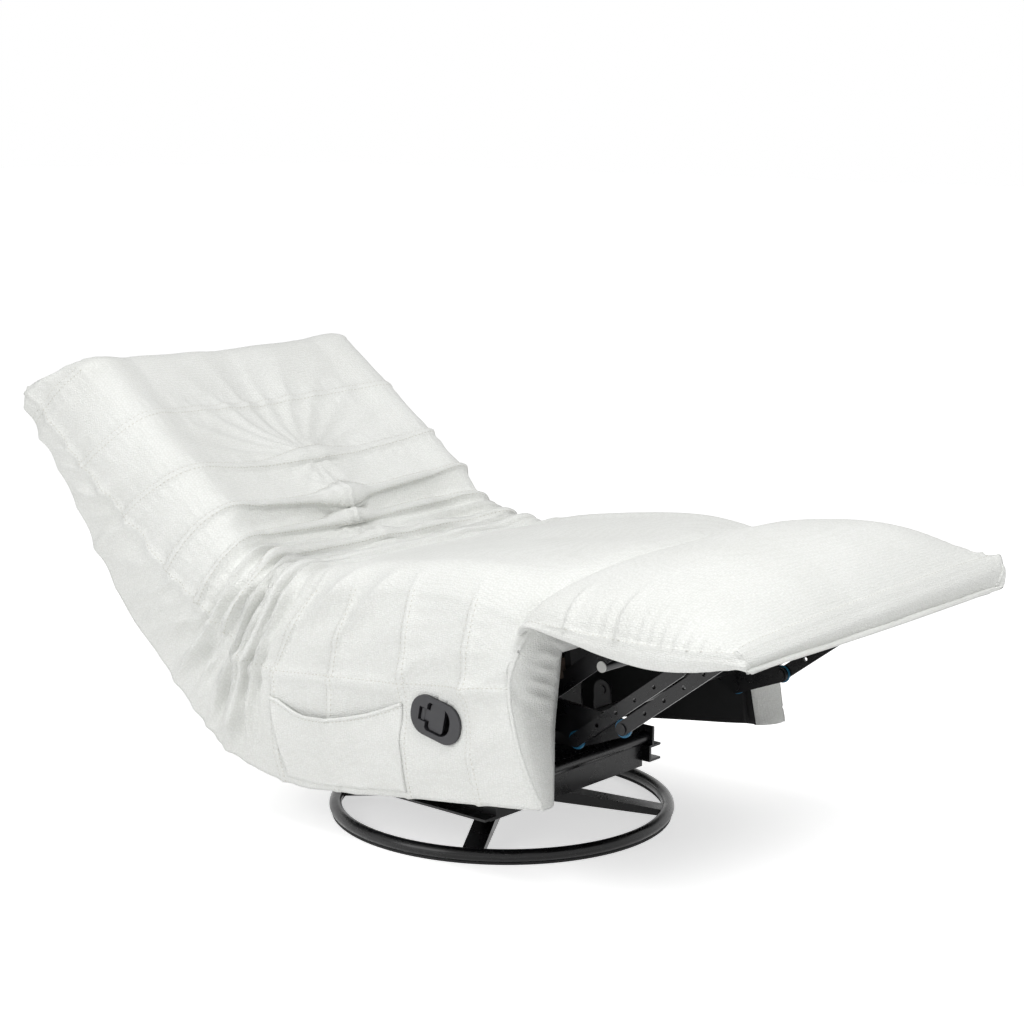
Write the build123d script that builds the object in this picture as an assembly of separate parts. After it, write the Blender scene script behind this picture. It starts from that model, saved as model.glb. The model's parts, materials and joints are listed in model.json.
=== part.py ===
from build123d import *
from math import cos, hypot, radians, sin
import os

# Swivel glider recliner, shown reclined with its footrest out.
# Millimetres, +Z up. The origin is on the floor under the swivel axis. The sitter faces -Y, so the
# sitter's right side, with the release handle and the pocket, is the -X side.
# The seat and all it carries are drawn level and then tipped back about the tilt pins.
# The back is drawn lying flat with its hinge at the origin and then raised to its reclined angle.

# Fits and clearances
RUN_GAP = 0.05
OPEN_GAP = 0.3
SEAM_GAP = 0.5
SOFT_GAP = 2.0
PLATE_GAP = 3.0

# Plates of the mechanism, stacked outward from the turntable
PLATE_T = 5.0
STACK_X = 194.0
EYE_R = 15.0
PIN_D = 10.0
HEAD_R = 8.0
HEAD_T = 2.5

# Ring base
RING_D = 610.0
RING_TUBE_D = 22.0
STRIP_W = 14.0
STRIP_H = 4.0
STRIP_GRIP = 1.5
ARM_COUNT = 4
ARM_TURN = -14.6
ARM_W = 36.0
ARM_H = 22.0
ARM_WALL = 4.0
ARM_INNER_R = 32.0
ARM_BEND_R = 84.0
HUB_Z = 46.0
HUB_SIZE = 150.0
HUB_T = 5.0
HUB_CORNER_R = 20.0
ARM_BOLT_D = 8.0
ARM_BOLT_HEAD_D = 14.0
ARM_BOLT_HEAD_H = 5.0
ARM_BOLT_RADII = (50.0, 68.0)

# Swivel bearing
RACE_INNER_R = 20.0
RACE_OUTER_R = 40.0
RACE_T = 3.0
BALL_D = 7.0
BALL_COUNT = 16
BALL_PLAY = 0.3
SWIVEL_BOLT_D = 16.0
SWIVEL_HEAD_D = 28.0
SWIVEL_HEAD_H = 9.0

# Turntable and glide links
TURNTABLE_T = 5.0
TURNTABLE_MARGIN = 24.0
GLIDE_FRONT_Y = -70.0
GLIDE_REAR_Y = 110.0
GLIDE_TOP_Z = 190.0
GLIDE_LINK = 105.0
GLIDE_POST_W = 36.0
GLIDE_BAND_H = 28.0
LINK_W = 26.0

# Mechanism frame
RAIL_FRONT_Y = -168.0
RAIL_REAR_Y = 200.0
RAIL_H = 30.0
RAIL_FLANGE_W = 28.0
RAIL_WALL = 4.0
MOUNT_STRIP_H = 34.0
CROSS_TUBE_D = 22.0
FRONT_TUBE_Y = -150.0
REAR_TUBE_Y = 182.0
CROSS_PLATE_H = 40.0
CROSS_PLATE_T = 4.0
TILT_PIVOT = (40.0, 185.0)
RECLINE_ANCHOR = (180.0, 150.0)
RECLINE_LEVER = 80.0
LINK_SLOT = 3.6
LINK_SLOT_GAP = 1.8

# Recline: the seat tips with the back
SEAT_TILT = 7.0
BACK_ANGLE = 45.0
BACK_TRAVEL = 28.0

# Seat frame, level
RECLINE_PIVOT = (315.0, 324.0)
FRAME_Z = 290.0
FRAME_H = 32.0
FRAME_FRONT_Y = -320.0
FRAME_REAR_Y = 150.0
FRAME_RAIL_W = 30.0
SIDE_RAIL_INNER_X = 205.0
SIDE_PLATE_W = 44.0
PANEL_INNER_X = 272.0
BOARD_T = 12.0
BOARD_BOTTOM_Z = 116.0
SPRING_COUNT = 5
SPRING_WIRE_D = 4.0
SPRING_PITCH = 44.0
SPRING_AMPLITUDE = 22.0
CLIP_L = 18.0
CLIP_W = 12.0
CLIP_T = 5.0
NOSE_BOARD_T = 12.0
NOSE_TUBE = (-399.0, 312.0)
NOSE_TUBE_D = 18.0
CAP_T = 1.5

# Footrest linkage, level: a parallelogram, so both upper bars stay parallel to the line of its pivots
FOOT_PIVOT = (-485.0, 379.0)
BAR_REACH = (-216.0, 125.0)
REAR_KNEE = (-76.0, -60.0)
FRONT_KNEE = (-171.0, -35.0)
UPPER_LINK_W = 22.0
SPARE_HOLE_D = 7.0
SPARE_HOLE_SHARES = (0.22, 0.4, 0.58, 0.76)
KNEE_HEAD_R = 9.0
TORQUE_TUBE = (-58.0, -34.0)
TORQUE_TUBE_D = 16.0
FOOT_BOARD_T = 15.0
FOOT_BOARD_SETBACK = 50.0
FOOT_BOARD_INSET = 18.0

# Upholstery
BODY_HALF_W = 358.0
SEAT_OVERHANG = 4.0
SEAT_HALF_W = BODY_HALF_W + SEAT_OVERHANG
SEAT_FRONT_Y = -365.0
SEAT_CROWN_Z = 494.0
SEAT_EDGE_Z = 436.0
SEAT_SEAMS_Y = (65.0, -95.0, -235.0, -365.0)
SEAT_REAR_DROP = 54.0
PANEL_BOTTOM_Z = 106.0
PANEL_SEAM_Z = 297.0
PANEL_BOTTOM_REAR_Y = 200.0
PANEL_HEEL = (300.0, 140.0)
PANEL_ROUND = 22.0
BOARD_SETBACK = 44.0
FOOT_OVERHANG = 30.0
FOOT_HALF_W = BODY_HALF_W + FOOT_OVERHANG
FOOT_TOE_Y = -776.0
FOOT_CROWN_Z = 506.0
FOOT_EDGE_Z = 391.0
FOOT_CREST_Y = -610.0
FOOT_BALL_Y = -722.0
FOOT_SKIRT_Z = 358.0
BACK_INSET = 2.0
BACK_HALF_W = BODY_HALF_W - BACK_INSET
POST_TOP_U = 610.0
PAD_OVER_POSTS = 30.0
BACK_TOP_U = POST_TOP_U + PAD_OVER_POSTS
CREST_SETBACK = 50.0
BACK_CREST_U = BACK_TOP_U - CREST_SETBACK
BACK_SEAMS_U = (480.0, 325.0, 225.0, 155.0)
BACK_FRONT_N = 88.0
BACK_EDGE_N = 66.0
BACK_FLARE = 30.0
BACK_DISH = 14.0
BACK_DISH_HALF_W = 250.0
BACK_TUFT = 30.0
ROLL_R = 146.0
ROLL_DRAW_IN = 2.0
ROLL_ROUND = 30.0
CHANNEL_RISE = 14.0
SEAT_RISE = 9.0
SEAT_ROLL_POWER = 3.0
FOOT_ROLL_POWER = 2.4
BACK_ROLL_POWER = 6.0
EDGE_RISE_SHARE = 0.35
BALL_HEIGHT_SHARE = 0.58
BALL_RISE = 6.0
GROOVE_EDGE_SHARE = 0.4
STATION_SHARES = (0.36, 0.66, 0.84, 0.94, 0.985, 1.0)
SPRING_BEND_SHARE = 0.24
COVER_WALL = 12.0
COVER_ROUND = 26.0
COVER_OVER_PAD = 14.0
COVER_TOP = (BACK_TOP_U + COVER_OVER_PAD, -95.0)
COVER_FOOT = (60.0, -138.0)

# Back frame
POST_W = 30.0
POST_T = 42.0
POST_N = -58.0
POST_FOOT_U = 165.0
TOP_RAIL_H = 36.0
LOWER_RAIL_H = 36.0
BRACKET_REACH_U = 300.0
STRAP_COUNT = 5
STRAP_W = 50.0
STRAP_T = 2.0
HINGE_SLOT_OUTER_X = 256.0

# Pocket
POCKET_REAR_Y = 195.0
POCKET_FRONT_Y = -100.0
POCKET_BOTTOM_Z = 112.0
POCKET_TOP_Z = 262.0
POCKET_SAG = 32.0
POCKET_DEPTH = 18.0
POCKET_WALL = 3.0

# Release handle
HANDLE_CENTRE = (-172.0, 243.0)
HANDLE_LEAN = 18.0
HANDLE_L = 104.0
HANDLE_W = 66.0
HANDLE_CORNER_R = 31.0
HANDLE_RIM = 8.0
HANDLE_PROUD = 5.0
HANDLE_DEPTH = 26.0
HANDLE_WALL = 3.0
PADDLE_L = 30.0
PADDLE_W = 44.0
PADDLE_T = 5.0
PADDLE_CORNER_R = 6.0
PADDLE_GAP = 1.8
PADDLE_SWING = 2.6
STEM_L = 18.0
STEM_W = 19.0
RECESS_L = 16.0
RECESS_CORNER_R = 21.0
HANDLE_PIN_D = 4.0
HANDLE_PIN_GRIP = 8.0
HANDLE_BARREL_D = 10.0

NODES = {}


def keep(name, *solids):
    """Stores one node, made of one or several separate solids."""
    found = [piece for solid in solids for piece in solid.solids()]
    NODES[name] = found[0] if len(found) == 1 else Compound(found)


def turned(point, degrees):
    """A (y, z) point turned about the X axis."""
    c, s = cos(radians(degrees)), sin(radians(degrees))
    return (point[0] * c - point[1] * s, point[0] * s + point[1] * c)


def plus(a, b):
    return (a[0] + b[0], a[1] + b[1])


def minus(a, b):
    return (a[0] - b[0], a[1] - b[1])


def along(a, b, share):
    """The point at a share of the way from a to b."""
    return (a[0] + (b[0] - a[0]) * share, a[1] + (b[1] - a[1]) * share)


def tipped(point):
    """Where a point of the level seat lies when the seat is tipped back."""
    return plus(TILT_PIVOT, turned(minus(point, TILT_PIVOT), -SEAT_TILT))


def tip(shape):
    """Tips a piece of the level seat back about the tilt pins."""
    return shape.rotate(Axis((0, *TILT_PIVOT), (1, 0, 0)), -SEAT_TILT)


def raise_back(shape):
    """Takes a piece of the flat back to its hinge at its reclined angle."""
    return Pos(0, *tipped(RECLINE_PIVOT)) * Rot(BACK_ANGLE, 0, 0) * shape


def flat_back(point):
    """A point of the tipped seat in the flat back's own (u, n)."""
    return turned(minus(point, tipped(RECLINE_PIVOT)), -BACK_ANGLE)


def other_side(shape):
    return mirror(shape, Plane.YZ)


def layer(index):
    """Inner and outer X of a plate in the mechanism's stack."""
    inner = STACK_X + index * (PLATE_T + PLATE_GAP)
    return inner, inner + PLATE_T


def slab(outline, x0, x1):
    """A (y, z) outline given a thickness along X."""
    return extrude(Plane.YZ.offset(min(x0, x1)) * outline, abs(x1 - x0))


def disc(centre, radius, x0, x1):
    return slab(Pos(*centre) * Circle(radius), x0, x1)


def bar(a, b, width):
    """Outline of a bar with rounded ends on two points."""
    reach = minus(b, a)
    middle = along(a, b, 0.5)
    lean = Vector(*reach).get_signed_angle(Vector(1, 0, 0), Vector(0, 0, -1))
    return Pos(*middle) * Rot(0, 0, lean) * SlotCenterToCenter(hypot(*reach), width)


def patch(*points):
    """Outline with straight sides, drawn the same way round whatever the order of its points."""
    pairs = zip(points, points[1:] + points[:1])
    turn = sum(a[0] * b[1] - b[0] * a[1] for a, b in pairs)
    return Polygon(*(points if turn > 0 else points[::-1]))


def eye(centre, radius=EYE_R):
    return Pos(*centre) * Circle(radius)


def bore(centre, gap=RUN_GAP, diameter=PIN_D):
    return Pos(*centre) * Circle(diameter / 2 + gap)


def block(x0, x1, y0, y1, z0, z1):
    size = (abs(x1 - x0), abs(y1 - y0), abs(z1 - z0))
    return Pos((x0 + x1) / 2, (y0 + y1) / 2, (z0 + z1) / 2) * Box(*size)


def tube_across(centre, diameter, half_length, wall):
    """A hollow tube along X."""
    outer = Pos(*centre) * Circle(diameter / 2)
    return slab(outer - Pos(*centre) * Circle(diameter / 2 - wall), -half_length, half_length)


def pin(centre, held, turning, diameter=PIN_D, head_r=HEAD_R, head_t=HEAD_T):
    """A pin through a holding plate and the plate that turns on it, with a head at each end."""
    low, high = min(held, turning), max(held, turning)
    x0, x1 = layer(low)[0], layer(high)[1]
    heads = disc(centre, head_r, x0 - head_t, x0 - RUN_GAP) + disc(centre, head_r, x1 + RUN_GAP, x1 + head_t)
    return disc(centre, diameter / 2, x0 - head_t, x1 + head_t) + heads


def outline_face(x, corners):
    """A closed (y, z) outline at x. A corner is (y, z, outward rise of the arc to the next corner)."""
    edges = []
    for (y0, z0, rise), (y1, z1, _) in zip(corners, corners[1:] + corners[:1]):
        start, end = Vector(x, y0, z0), Vector(x, y1, z1)
        if rise == 0:
            edges.append(Edge.make_line(start, end))
            continue
        outward = Vector(0, z1 - z0, y0 - y1).normalized()
        edges.append(Edge.make_three_point_arc(start, (start + end) * 0.5 + outward * rise, end))
    return Face(Wire(edges))


def crown(x, half_width, edge, top, power):
    """Height across a stuffed pad: level in the middle, rolling over to the edge."""
    return edge + (top - edge) * (1 - abs(x / half_width) ** power) ** 0.5


def stations(half_width):
    """Places across a pad where its section is drawn, closer together where the edge rolls over."""
    right = [half_width * share for share in STATION_SHARES]
    return [-x for x in reversed(right)] + [0.0] + right


def pad_rise(top, edge, full):
    """How far a pad bulges between its seams, less near its low edge, and its height there as a share."""
    share = (top - edge) / (full - edge)
    return SEAT_RISE * (EDGE_RISE_SHARE + (1 - EDGE_RISE_SHARE) * share), share


# Heights that follow from the sizes above
RING_R = RING_D / 2 - RING_TUBE_D / 2
RING_Z = STRIP_H - STRIP_GRIP + RING_TUBE_D / 2
RACE_Z = HUB_Z + HUB_T
UPPER_RACE_Z = RACE_Z + RACE_T + BALL_D + BALL_PLAY
TURNTABLE_Z = UPPER_RACE_Z + RACE_T
GLIDE_LOW_Z = GLIDE_TOP_Z - GLIDE_LINK
RAIL_Z = GLIDE_LOW_Z - RAIL_H / 2
RAIL_TOP_Z = RAIL_Z + RAIL_H
TUBE_Z = RAIL_TOP_Z + CROSS_TUBE_D / 2 + SEAM_GAP
FRAME_TOP_Z = FRAME_Z + FRAME_H
CUSHION_Z = FRAME_TOP_Z + SPRING_WIRE_D + SOFT_GAP
CRANK_PIVOT = minus(FOOT_PIVOT, BAR_REACH)
KNEES = (plus(CRANK_PIVOT, REAR_KNEE), plus(CRANK_PIVOT, FRONT_KNEE))
TOES = (plus(FOOT_PIVOT, REAR_KNEE), plus(FOOT_PIVOT, FRONT_KNEE))
PAD_Z = FOOT_PIVOT[1] + SOFT_GAP
BACK_FACE_N = POST_N + POST_T + STRAP_T
BACK_UPRIGHT = BACK_ANGLE + SEAT_TILT + BACK_TRAVEL


def recline_joint():
    """Where the recline link holds the back's lever: as far from its anchor upright as reclined."""
    reclined, upright = tipped(RECLINE_PIVOT), RECLINE_PIVOT
    turn = SEAT_TILT + BACK_TRAVEL
    a, b = minus(reclined, RECLINE_ANCHOR), minus(upright, RECLINE_ANCHOR)
    b_back = turned(b, -turn)
    y = -RECLINE_LEVER
    slack = b[0] ** 2 + b[1] ** 2 - a[0] ** 2 - a[1] ** 2
    z = (slack + 2 * y * (b_back[0] - a[0])) / (2 * (a[1] - b_back[1]))
    return plus(reclined, (y, z))


RECLINE_JOINT = recline_joint()


def make_base():
    ring = Pos(0, 0, RING_Z) * Torus(RING_R, RING_TUBE_D / 2)
    bed = Pos(0, 0, RING_Z) * Torus(RING_R, RING_TUBE_D / 2 + RUN_GAP)
    strip = Circle(RING_R + STRIP_W / 2) - Circle(RING_R - STRIP_W / 2)
    keep("base_ring", ring)
    keep("floor_strip", extrude(strip, STRIP_H) - bed)
    spokes = [Rot(0, 0, ARM_TURN + 45 + 360 / ARM_COUNT * i) for i in range(ARM_COUNT)]
    keep("base_arms", *[spoke * (base_arm() - bed) for spoke in spokes])
    hub = fillet((Box(HUB_SIZE, HUB_SIZE, HUB_T)).edges().filter_by(Axis.Z), HUB_CORNER_R)
    hub = Pos(0, 0, HUB_Z + HUB_T / 2) * Rot(0, 0, ARM_TURN) * hub
    hub -= Pos(0, 0, HUB_Z) * Cylinder(SWIVEL_BOLT_D / 2, 4 * HUB_T)
    bolts = [spoke * Pos(r, 0, 0) * arm_bolt() for spoke in spokes for r in ARM_BOLT_RADII]
    for spoke in spokes:
        for r in ARM_BOLT_RADII:
            hub -= spoke * Pos(r, 0, HUB_Z) * Cylinder(ARM_BOLT_D / 2, 4 * HUB_T)
    keep("base_hub", hub)
    keep("arm_bolts", *bolts)


def base_arm():
    """One stamped arm, a channel open below, from under the hub down to the ring."""
    end_z = RING_Z + RING_TUBE_D / 4
    top = [(ARM_INNER_R, HUB_Z), (ARM_BEND_R, HUB_Z), (RING_R, end_z)]
    low = [(RING_R, end_z - ARM_H / 2), (ARM_BEND_R, HUB_Z - ARM_H), (ARM_INNER_R, HUB_Z - ARM_H)]
    skin = extrude(Plane.XZ * patch(*top, *low), ARM_W / 2, both=True)
    hollow = [(r, z - ARM_WALL) for r, z in top] + [(r, z - ARM_H) for r, z in low]
    arm = skin - extrude(Plane.XZ * patch(*hollow), ARM_W / 2 - ARM_WALL, both=True)
    for r in ARM_BOLT_RADII:
        arm -= Pos(r, 0, HUB_Z) * Cylinder(ARM_BOLT_D / 2, 4 * HUB_T)
    return arm


def arm_bolt():
    head = extrude(Pos(0, 0, RACE_Z) * RegularPolygon(ARM_BOLT_HEAD_D / 2, 6), ARM_BOLT_HEAD_H)
    nut_z = HUB_Z - ARM_WALL
    nut = extrude(Pos(0, 0, nut_z) * RegularPolygon(ARM_BOLT_HEAD_D / 2, 6), -ARM_BOLT_HEAD_H)
    return head + extrude(Pos(0, 0, nut_z) * Circle(ARM_BOLT_D / 2), RACE_Z - nut_z) + nut


def make_swivel():
    race = Circle(RACE_OUTER_R) - Circle(RACE_INNER_R)
    keep("bearing_lower_race", extrude(Pos(0, 0, RACE_Z) * race, RACE_T))
    keep("bearing_upper_race", extrude(Pos(0, 0, UPPER_RACE_Z) * race, RACE_T))
    ball_z = RACE_Z + RACE_T + BALL_D / 2 + RUN_GAP
    ball = Pos((RACE_INNER_R + RACE_OUTER_R) / 2, 0, ball_z) * Sphere(BALL_D / 2)
    keep("bearing_balls", *[Rot(0, 0, 360 / BALL_COUNT * i) * ball for i in range(BALL_COUNT)])
    top_z = TURNTABLE_Z + TURNTABLE_T
    shank = Pos(0, 0, HUB_Z) * extrude(Circle(SWIVEL_BOLT_D / 2), top_z - HUB_Z + SWIVEL_HEAD_H)
    head = extrude(Pos(0, 0, HUB_Z) * RegularPolygon(SWIVEL_HEAD_D / 2, 6), -SWIVEL_HEAD_H)
    nut = extrude(Pos(0, 0, top_z + OPEN_GAP) * RegularPolygon(SWIVEL_HEAD_D / 2, 6), SWIVEL_HEAD_H)
    keep("swivel_bolt", shank + head + nut)


def make_turntable():
    y0, y1 = GLIDE_FRONT_Y - TURNTABLE_MARGIN, GLIDE_REAR_Y + TURNTABLE_MARGIN
    plate = block(-STACK_X, STACK_X, y0, y1, TURNTABLE_Z, TURNTABLE_Z + TURNTABLE_T)
    plate -= Pos(0, 0, TURNTABLE_Z) * Cylinder(SWIVEL_BOLT_D / 2 + RUN_GAP, 4 * TURNTABLE_T)
    keep("turntable_plate", plate)
    band = Pos((y0 + y1) / 2, TURNTABLE_Z + GLIDE_BAND_H / 2) * Rectangle(y1 - y0, GLIDE_BAND_H)
    outline = band
    pins = []
    for y in (GLIDE_FRONT_Y, GLIDE_REAR_Y):
        outline += bar((y, TURNTABLE_Z + GLIDE_BAND_H / 2 + GLIDE_POST_W / 4), (y, GLIDE_TOP_Z), GLIDE_POST_W)
        outline -= bore((y, GLIDE_TOP_Z), 0)
        pins.append(pin((y, GLIDE_TOP_Z), 0, 1))
    outline &= Pos((y0 + y1) / 2, TURNTABLE_Z + GLIDE_TOP_Z / 2) * Rectangle(y1 - y0, GLIDE_TOP_Z)
    bracket = slab(outline, *layer(0))
    keep("glide_brackets", bracket, other_side(bracket))
    keep("upper_glide_pins", *pins, *[other_side(p) for p in pins])


def make_glide_links():
    for name, y in (("front_glide_links", GLIDE_FRONT_Y), ("rear_glide_links", GLIDE_REAR_Y)):
        top, low = (y, GLIDE_TOP_Z), (y, GLIDE_LOW_Z)
        link = slab(bar(top, low, LINK_W) - bore(top) - bore(low), *layer(1))
        keep(name, link, other_side(link))


def make_mechanism_frame():
    web_in, web_out = layer(2)
    lip = web_out + RAIL_FLANGE_W
    web = Pos((RAIL_FRONT_Y + RAIL_REAR_Y) / 2, GLIDE_LOW_Z) * Rectangle(RAIL_REAR_Y - RAIL_FRONT_Y, RAIL_H)
    pins = []
    for y in (GLIDE_FRONT_Y, GLIDE_REAR_Y):
        web -= bore((y, GLIDE_LOW_Z), 0)
        pins.append(pin((y, GLIDE_LOW_Z), 2, 1))
    rail = slab(web, web_in, web_out)
    rail += block(web_out, lip, RAIL_FRONT_Y, RAIL_REAR_Y, RAIL_TOP_Z - RAIL_WALL, RAIL_TOP_Z)
    rail += block(web_out, lip, RAIL_FRONT_Y, RAIL_REAR_Y, RAIL_Z, RAIL_Z + RAIL_WALL)
    keep("base_rails", rail, other_side(rail))
    keep("lower_glide_pins", *pins, *[other_side(p) for p in pins])

    foot = (TILT_PIVOT[0], RAIL_TOP_Z + MOUNT_STRIP_H / 2)
    strip = Pos((RAIL_FRONT_Y + RAIL_REAR_Y) / 2, foot[1])
    plate = strip * Rectangle(RAIL_REAR_Y - RAIL_FRONT_Y, MOUNT_STRIP_H)
    plate += bar(foot, TILT_PIVOT, 2 * SIDE_PLATE_W) & Pos(*TILT_PIVOT) * Rectangle(
        2 * SIDE_PLATE_W, 2 * (TILT_PIVOT[1] - RAIL_TOP_Z))
    plate += bar((RECLINE_ANCHOR[0], foot[1]), RECLINE_ANCHOR, 2 * EYE_R)
    plate -= bore(TILT_PIVOT, 0) + bore(RECLINE_ANCHOR, 0)
    mount = slab(plate, *layer(3))
    keep("mount_plates", mount, other_side(mount))
    tilt = pin(TILT_PIVOT, 3, 2)
    anchor = pin(RECLINE_ANCHOR, 3, 4)
    keep("mount_pins", tilt, anchor, other_side(tilt), other_side(anchor))

    reach = layer(3)[0]
    wall = CROSS_TUBE_D / 10
    keep("front_cross_tube", tube_across((FRONT_TUBE_Y, TUBE_Z), CROSS_TUBE_D, reach, wall))
    keep("rear_cross_tube", tube_across((REAR_TUBE_Y, TUBE_Z), CROSS_TUBE_D, reach, wall))
    y0 = FRONT_TUBE_Y - CROSS_PLATE_T / 2
    cross = block(-web_in, web_in, y0, y0 + CROSS_PLATE_T, RAIL_TOP_Z - CROSS_PLATE_H, RAIL_TOP_Z)
    keep("front_cross_plate", cross)


def make_recline_links():
    outline = bar(RECLINE_ANCHOR, RECLINE_JOINT, LINK_W)
    length = hypot(*minus(RECLINE_JOINT, RECLINE_ANCHOR))
    slot_end = along(RECLINE_JOINT, RECLINE_ANCHOR, LINK_SLOT / length)
    outline -= bore(RECLINE_ANCHOR) + bar(RECLINE_JOINT, slot_end, PIN_D + 2 * LINK_SLOT_GAP)
    link = slab(outline, *layer(4))
    keep("recline_links", link, other_side(link))


def make_side_plates():
    """The seat's main plates, from the recline hinge through the tilt pins to the footrest hinge."""
    spine_y = (CRANK_PIVOT[0], TILT_PIVOT[0])
    spine_z = FRAME_Z - SIDE_PLATE_W / 2
    spine = ((spine_y[0], spine_z), (spine_y[1] + SIDE_PLATE_W, spine_z))
    outline = bar(*spine, SIDE_PLATE_W)
    outline += bar(TILT_PIVOT, (TILT_PIVOT[0], spine_z), 2 * EYE_R + SIDE_PLATE_W / 4)
    outline += bar(spine[1], RECLINE_PIVOT, SIDE_PLATE_W)
    outline += bar(CRANK_PIVOT, spine[0], 2 * EYE_R)
    outline += bar(CRANK_PIVOT, FOOT_PIVOT, 2 * EYE_R)
    outline -= bore(TILT_PIVOT)
    for pivot in (RECLINE_PIVOT, CRANK_PIVOT, FOOT_PIVOT):
        outline -= bore(pivot, 0)
    outline -= Pos(*NOSE_TUBE) * Circle(NOSE_TUBE_D / 2)
    rails = block(*layer(2), FRAME_FRONT_Y, FRAME_REAR_Y, FRAME_Z, PAD_Z)
    plate = slab(outline, *layer(2)) - rails
    keep("side_plates", tip(plate), tip(other_side(plate)))
    pins = [pin(RECLINE_PIVOT, 2, 3), pin(CRANK_PIVOT, 2, 3), pin(FOOT_PIVOT, 2, 3)]
    keep("seat_pivot_pins", *[tip(p) for p in pins], *[tip(other_side(p)) for p in pins])
    tube = tube_across(NOSE_TUBE, NOSE_TUBE_D, layer(2)[1], NOSE_TUBE_D / 10)
    cap = disc(NOSE_TUBE, NOSE_TUBE_D / 2, layer(2)[1], layer(2)[1] + CAP_T)
    keep("nose_cross_tube", tip(tube))
    keep("tube_caps", tip(cap), tip(other_side(cap)))


def make_seat_frame():
    side = block(SIDE_RAIL_INNER_X, PANEL_INNER_X, FRAME_FRONT_Y, FRAME_REAR_Y, FRAME_Z, FRAME_TOP_Z)
    keep("seat_side_rails", tip(side), tip(other_side(side)))
    inner = SIDE_RAIL_INNER_X
    front = block(-inner, inner, FRAME_FRONT_Y, FRAME_FRONT_Y + FRAME_RAIL_W, FRAME_Z, FRAME_TOP_Z)
    rear = block(-inner, inner, FRAME_REAR_Y - FRAME_RAIL_W, FRAME_REAR_Y, FRAME_Z, FRAME_TOP_Z)
    keep("front_rail", tip(front))
    keep("rear_rail", tip(rear))
    gap = 2 * inner / SPRING_COUNT
    places = [gap * (i - (SPRING_COUNT - 1) / 2) for i in range(SPRING_COUNT)]
    spring = sinuous_spring()
    keep("seat_springs", *[tip(Pos(x, 0, 0) * spring) for x in places])
    ends = (FRAME_FRONT_Y + FRAME_RAIL_W / 2, FRAME_REAR_Y - FRAME_RAIL_W / 2)
    clips = [Pos(0, y, FRAME_TOP_Z + CLIP_T / 2) * Box(CLIP_L, CLIP_W, CLIP_T) - spring for y in ends]
    keep("spring_clips", *[tip(Pos(x, 0, 0) * clip) for x in places for clip in clips])
    deck_y = (FOOT_PIVOT[0] + EYE_R + SOFT_GAP, FRAME_FRONT_Y)
    deck_x = layer(2)[0] - SOFT_GAP
    deck = block(-deck_x, deck_x, *deck_y, PAD_Z - SEAM_GAP - NOSE_BOARD_T, PAD_Z - SEAM_GAP)
    post = block(-deck_x, deck_x, deck_y[1] - NOSE_BOARD_T, deck_y[1], FRAME_Z, PAD_Z - SEAM_GAP)
    keep("nose_board", tip(deck + post))
    board = block(PANEL_INNER_X, PANEL_INNER_X + BOARD_T, SEAT_FRONT_Y + BOARD_SETBACK, FRAME_REAR_Y,
                  BOARD_BOTTOM_Z, FRAME_TOP_Z)
    keep("left_panel_board", tip(board))
    keep("right_panel_board", tip(other_side(board)))


def sinuous_spring():
    """A flat zigzag of wire from the front rail to the rear rail."""
    start, stop = FRAME_FRONT_Y + FRAME_RAIL_W / 2, FRAME_REAR_Y - FRAME_RAIL_W / 2
    turns = int((stop - start) / SPRING_PITCH)
    step = (stop - start) / turns
    z = FRAME_TOP_Z + SPRING_WIRE_D / 2
    points = [(0, start, z)]
    for i in range(turns):
        side = SPRING_AMPLITUDE if i % 2 else -SPRING_AMPLITUDE
        points += [(side, start + step * (i + 0.25), z), (side, start + step * (i + 0.75), z)]
    points.append((0, stop, z))
    path = FilletPolyline(*points, radius=step * SPRING_BEND_SHARE)
    section = Plane(origin=path @ 0, z_dir=path % 0) * Circle(SPRING_WIRE_D / 2)
    return sweep(section, path)


def back_room():
    """What the back sweeps through between reclined and upright, in the level seat."""
    far = 2 * BACK_HALF_W
    front = BACK_FRONT_N + BACK_FLARE + CHANNEL_RISE + SOFT_GAP
    roll = disc((0, 0), ROLL_R + SOFT_GAP, -far, far)
    rising = block(-far, far, 0, BACK_TOP_U, -ROLL_R, front)
    swept = roll + Rot(BACK_UPRIGHT, 0, 0) * rising + Rot(BACK_ANGLE + SEAT_TILT, 0, 0) * rising
    return Pos(0, *RECLINE_PIVOT) * swept


def seat_section(x):
    """Side outline of the seat cushion at one place across it, from the nose's underside round."""
    top = crown(x, SEAT_HALF_W, SEAT_EDGE_Z, SEAT_CROWN_Z, SEAT_ROLL_POWER)
    rise, share = pad_rise(top, SEAT_EDGE_Z, SEAT_CROWN_Z)
    rear_z = top - SEAT_REAR_DROP * share
    rear_y = RECLINE_PIVOT[0]
    nose_y = FOOT_PIVOT[0] + SOFT_GAP
    corners = [(nose_y, PAD_Z, 0), (SEAT_FRONT_Y, PAD_Z, 0), (SEAT_FRONT_Y, PANEL_SEAM_Z + SEAM_GAP, 0)]
    corners += [(rear_y, PANEL_SEAM_Z + SEAM_GAP, 0), (rear_y, rear_z, rise)]
    corners += [(y, top - rise, rise) for y in SEAT_SEAMS_Y]
    return outline_face(x, corners + [(nose_y, top - rise / 2, 0)])


def hinge_slot_x():
    """Room across X that the soft pieces leave for a hinge's plates and the heads of its pin."""
    return layer(2)[0] - HEAD_T - SOFT_GAP, layer(3)[1] + HEAD_T + SOFT_GAP


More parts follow.
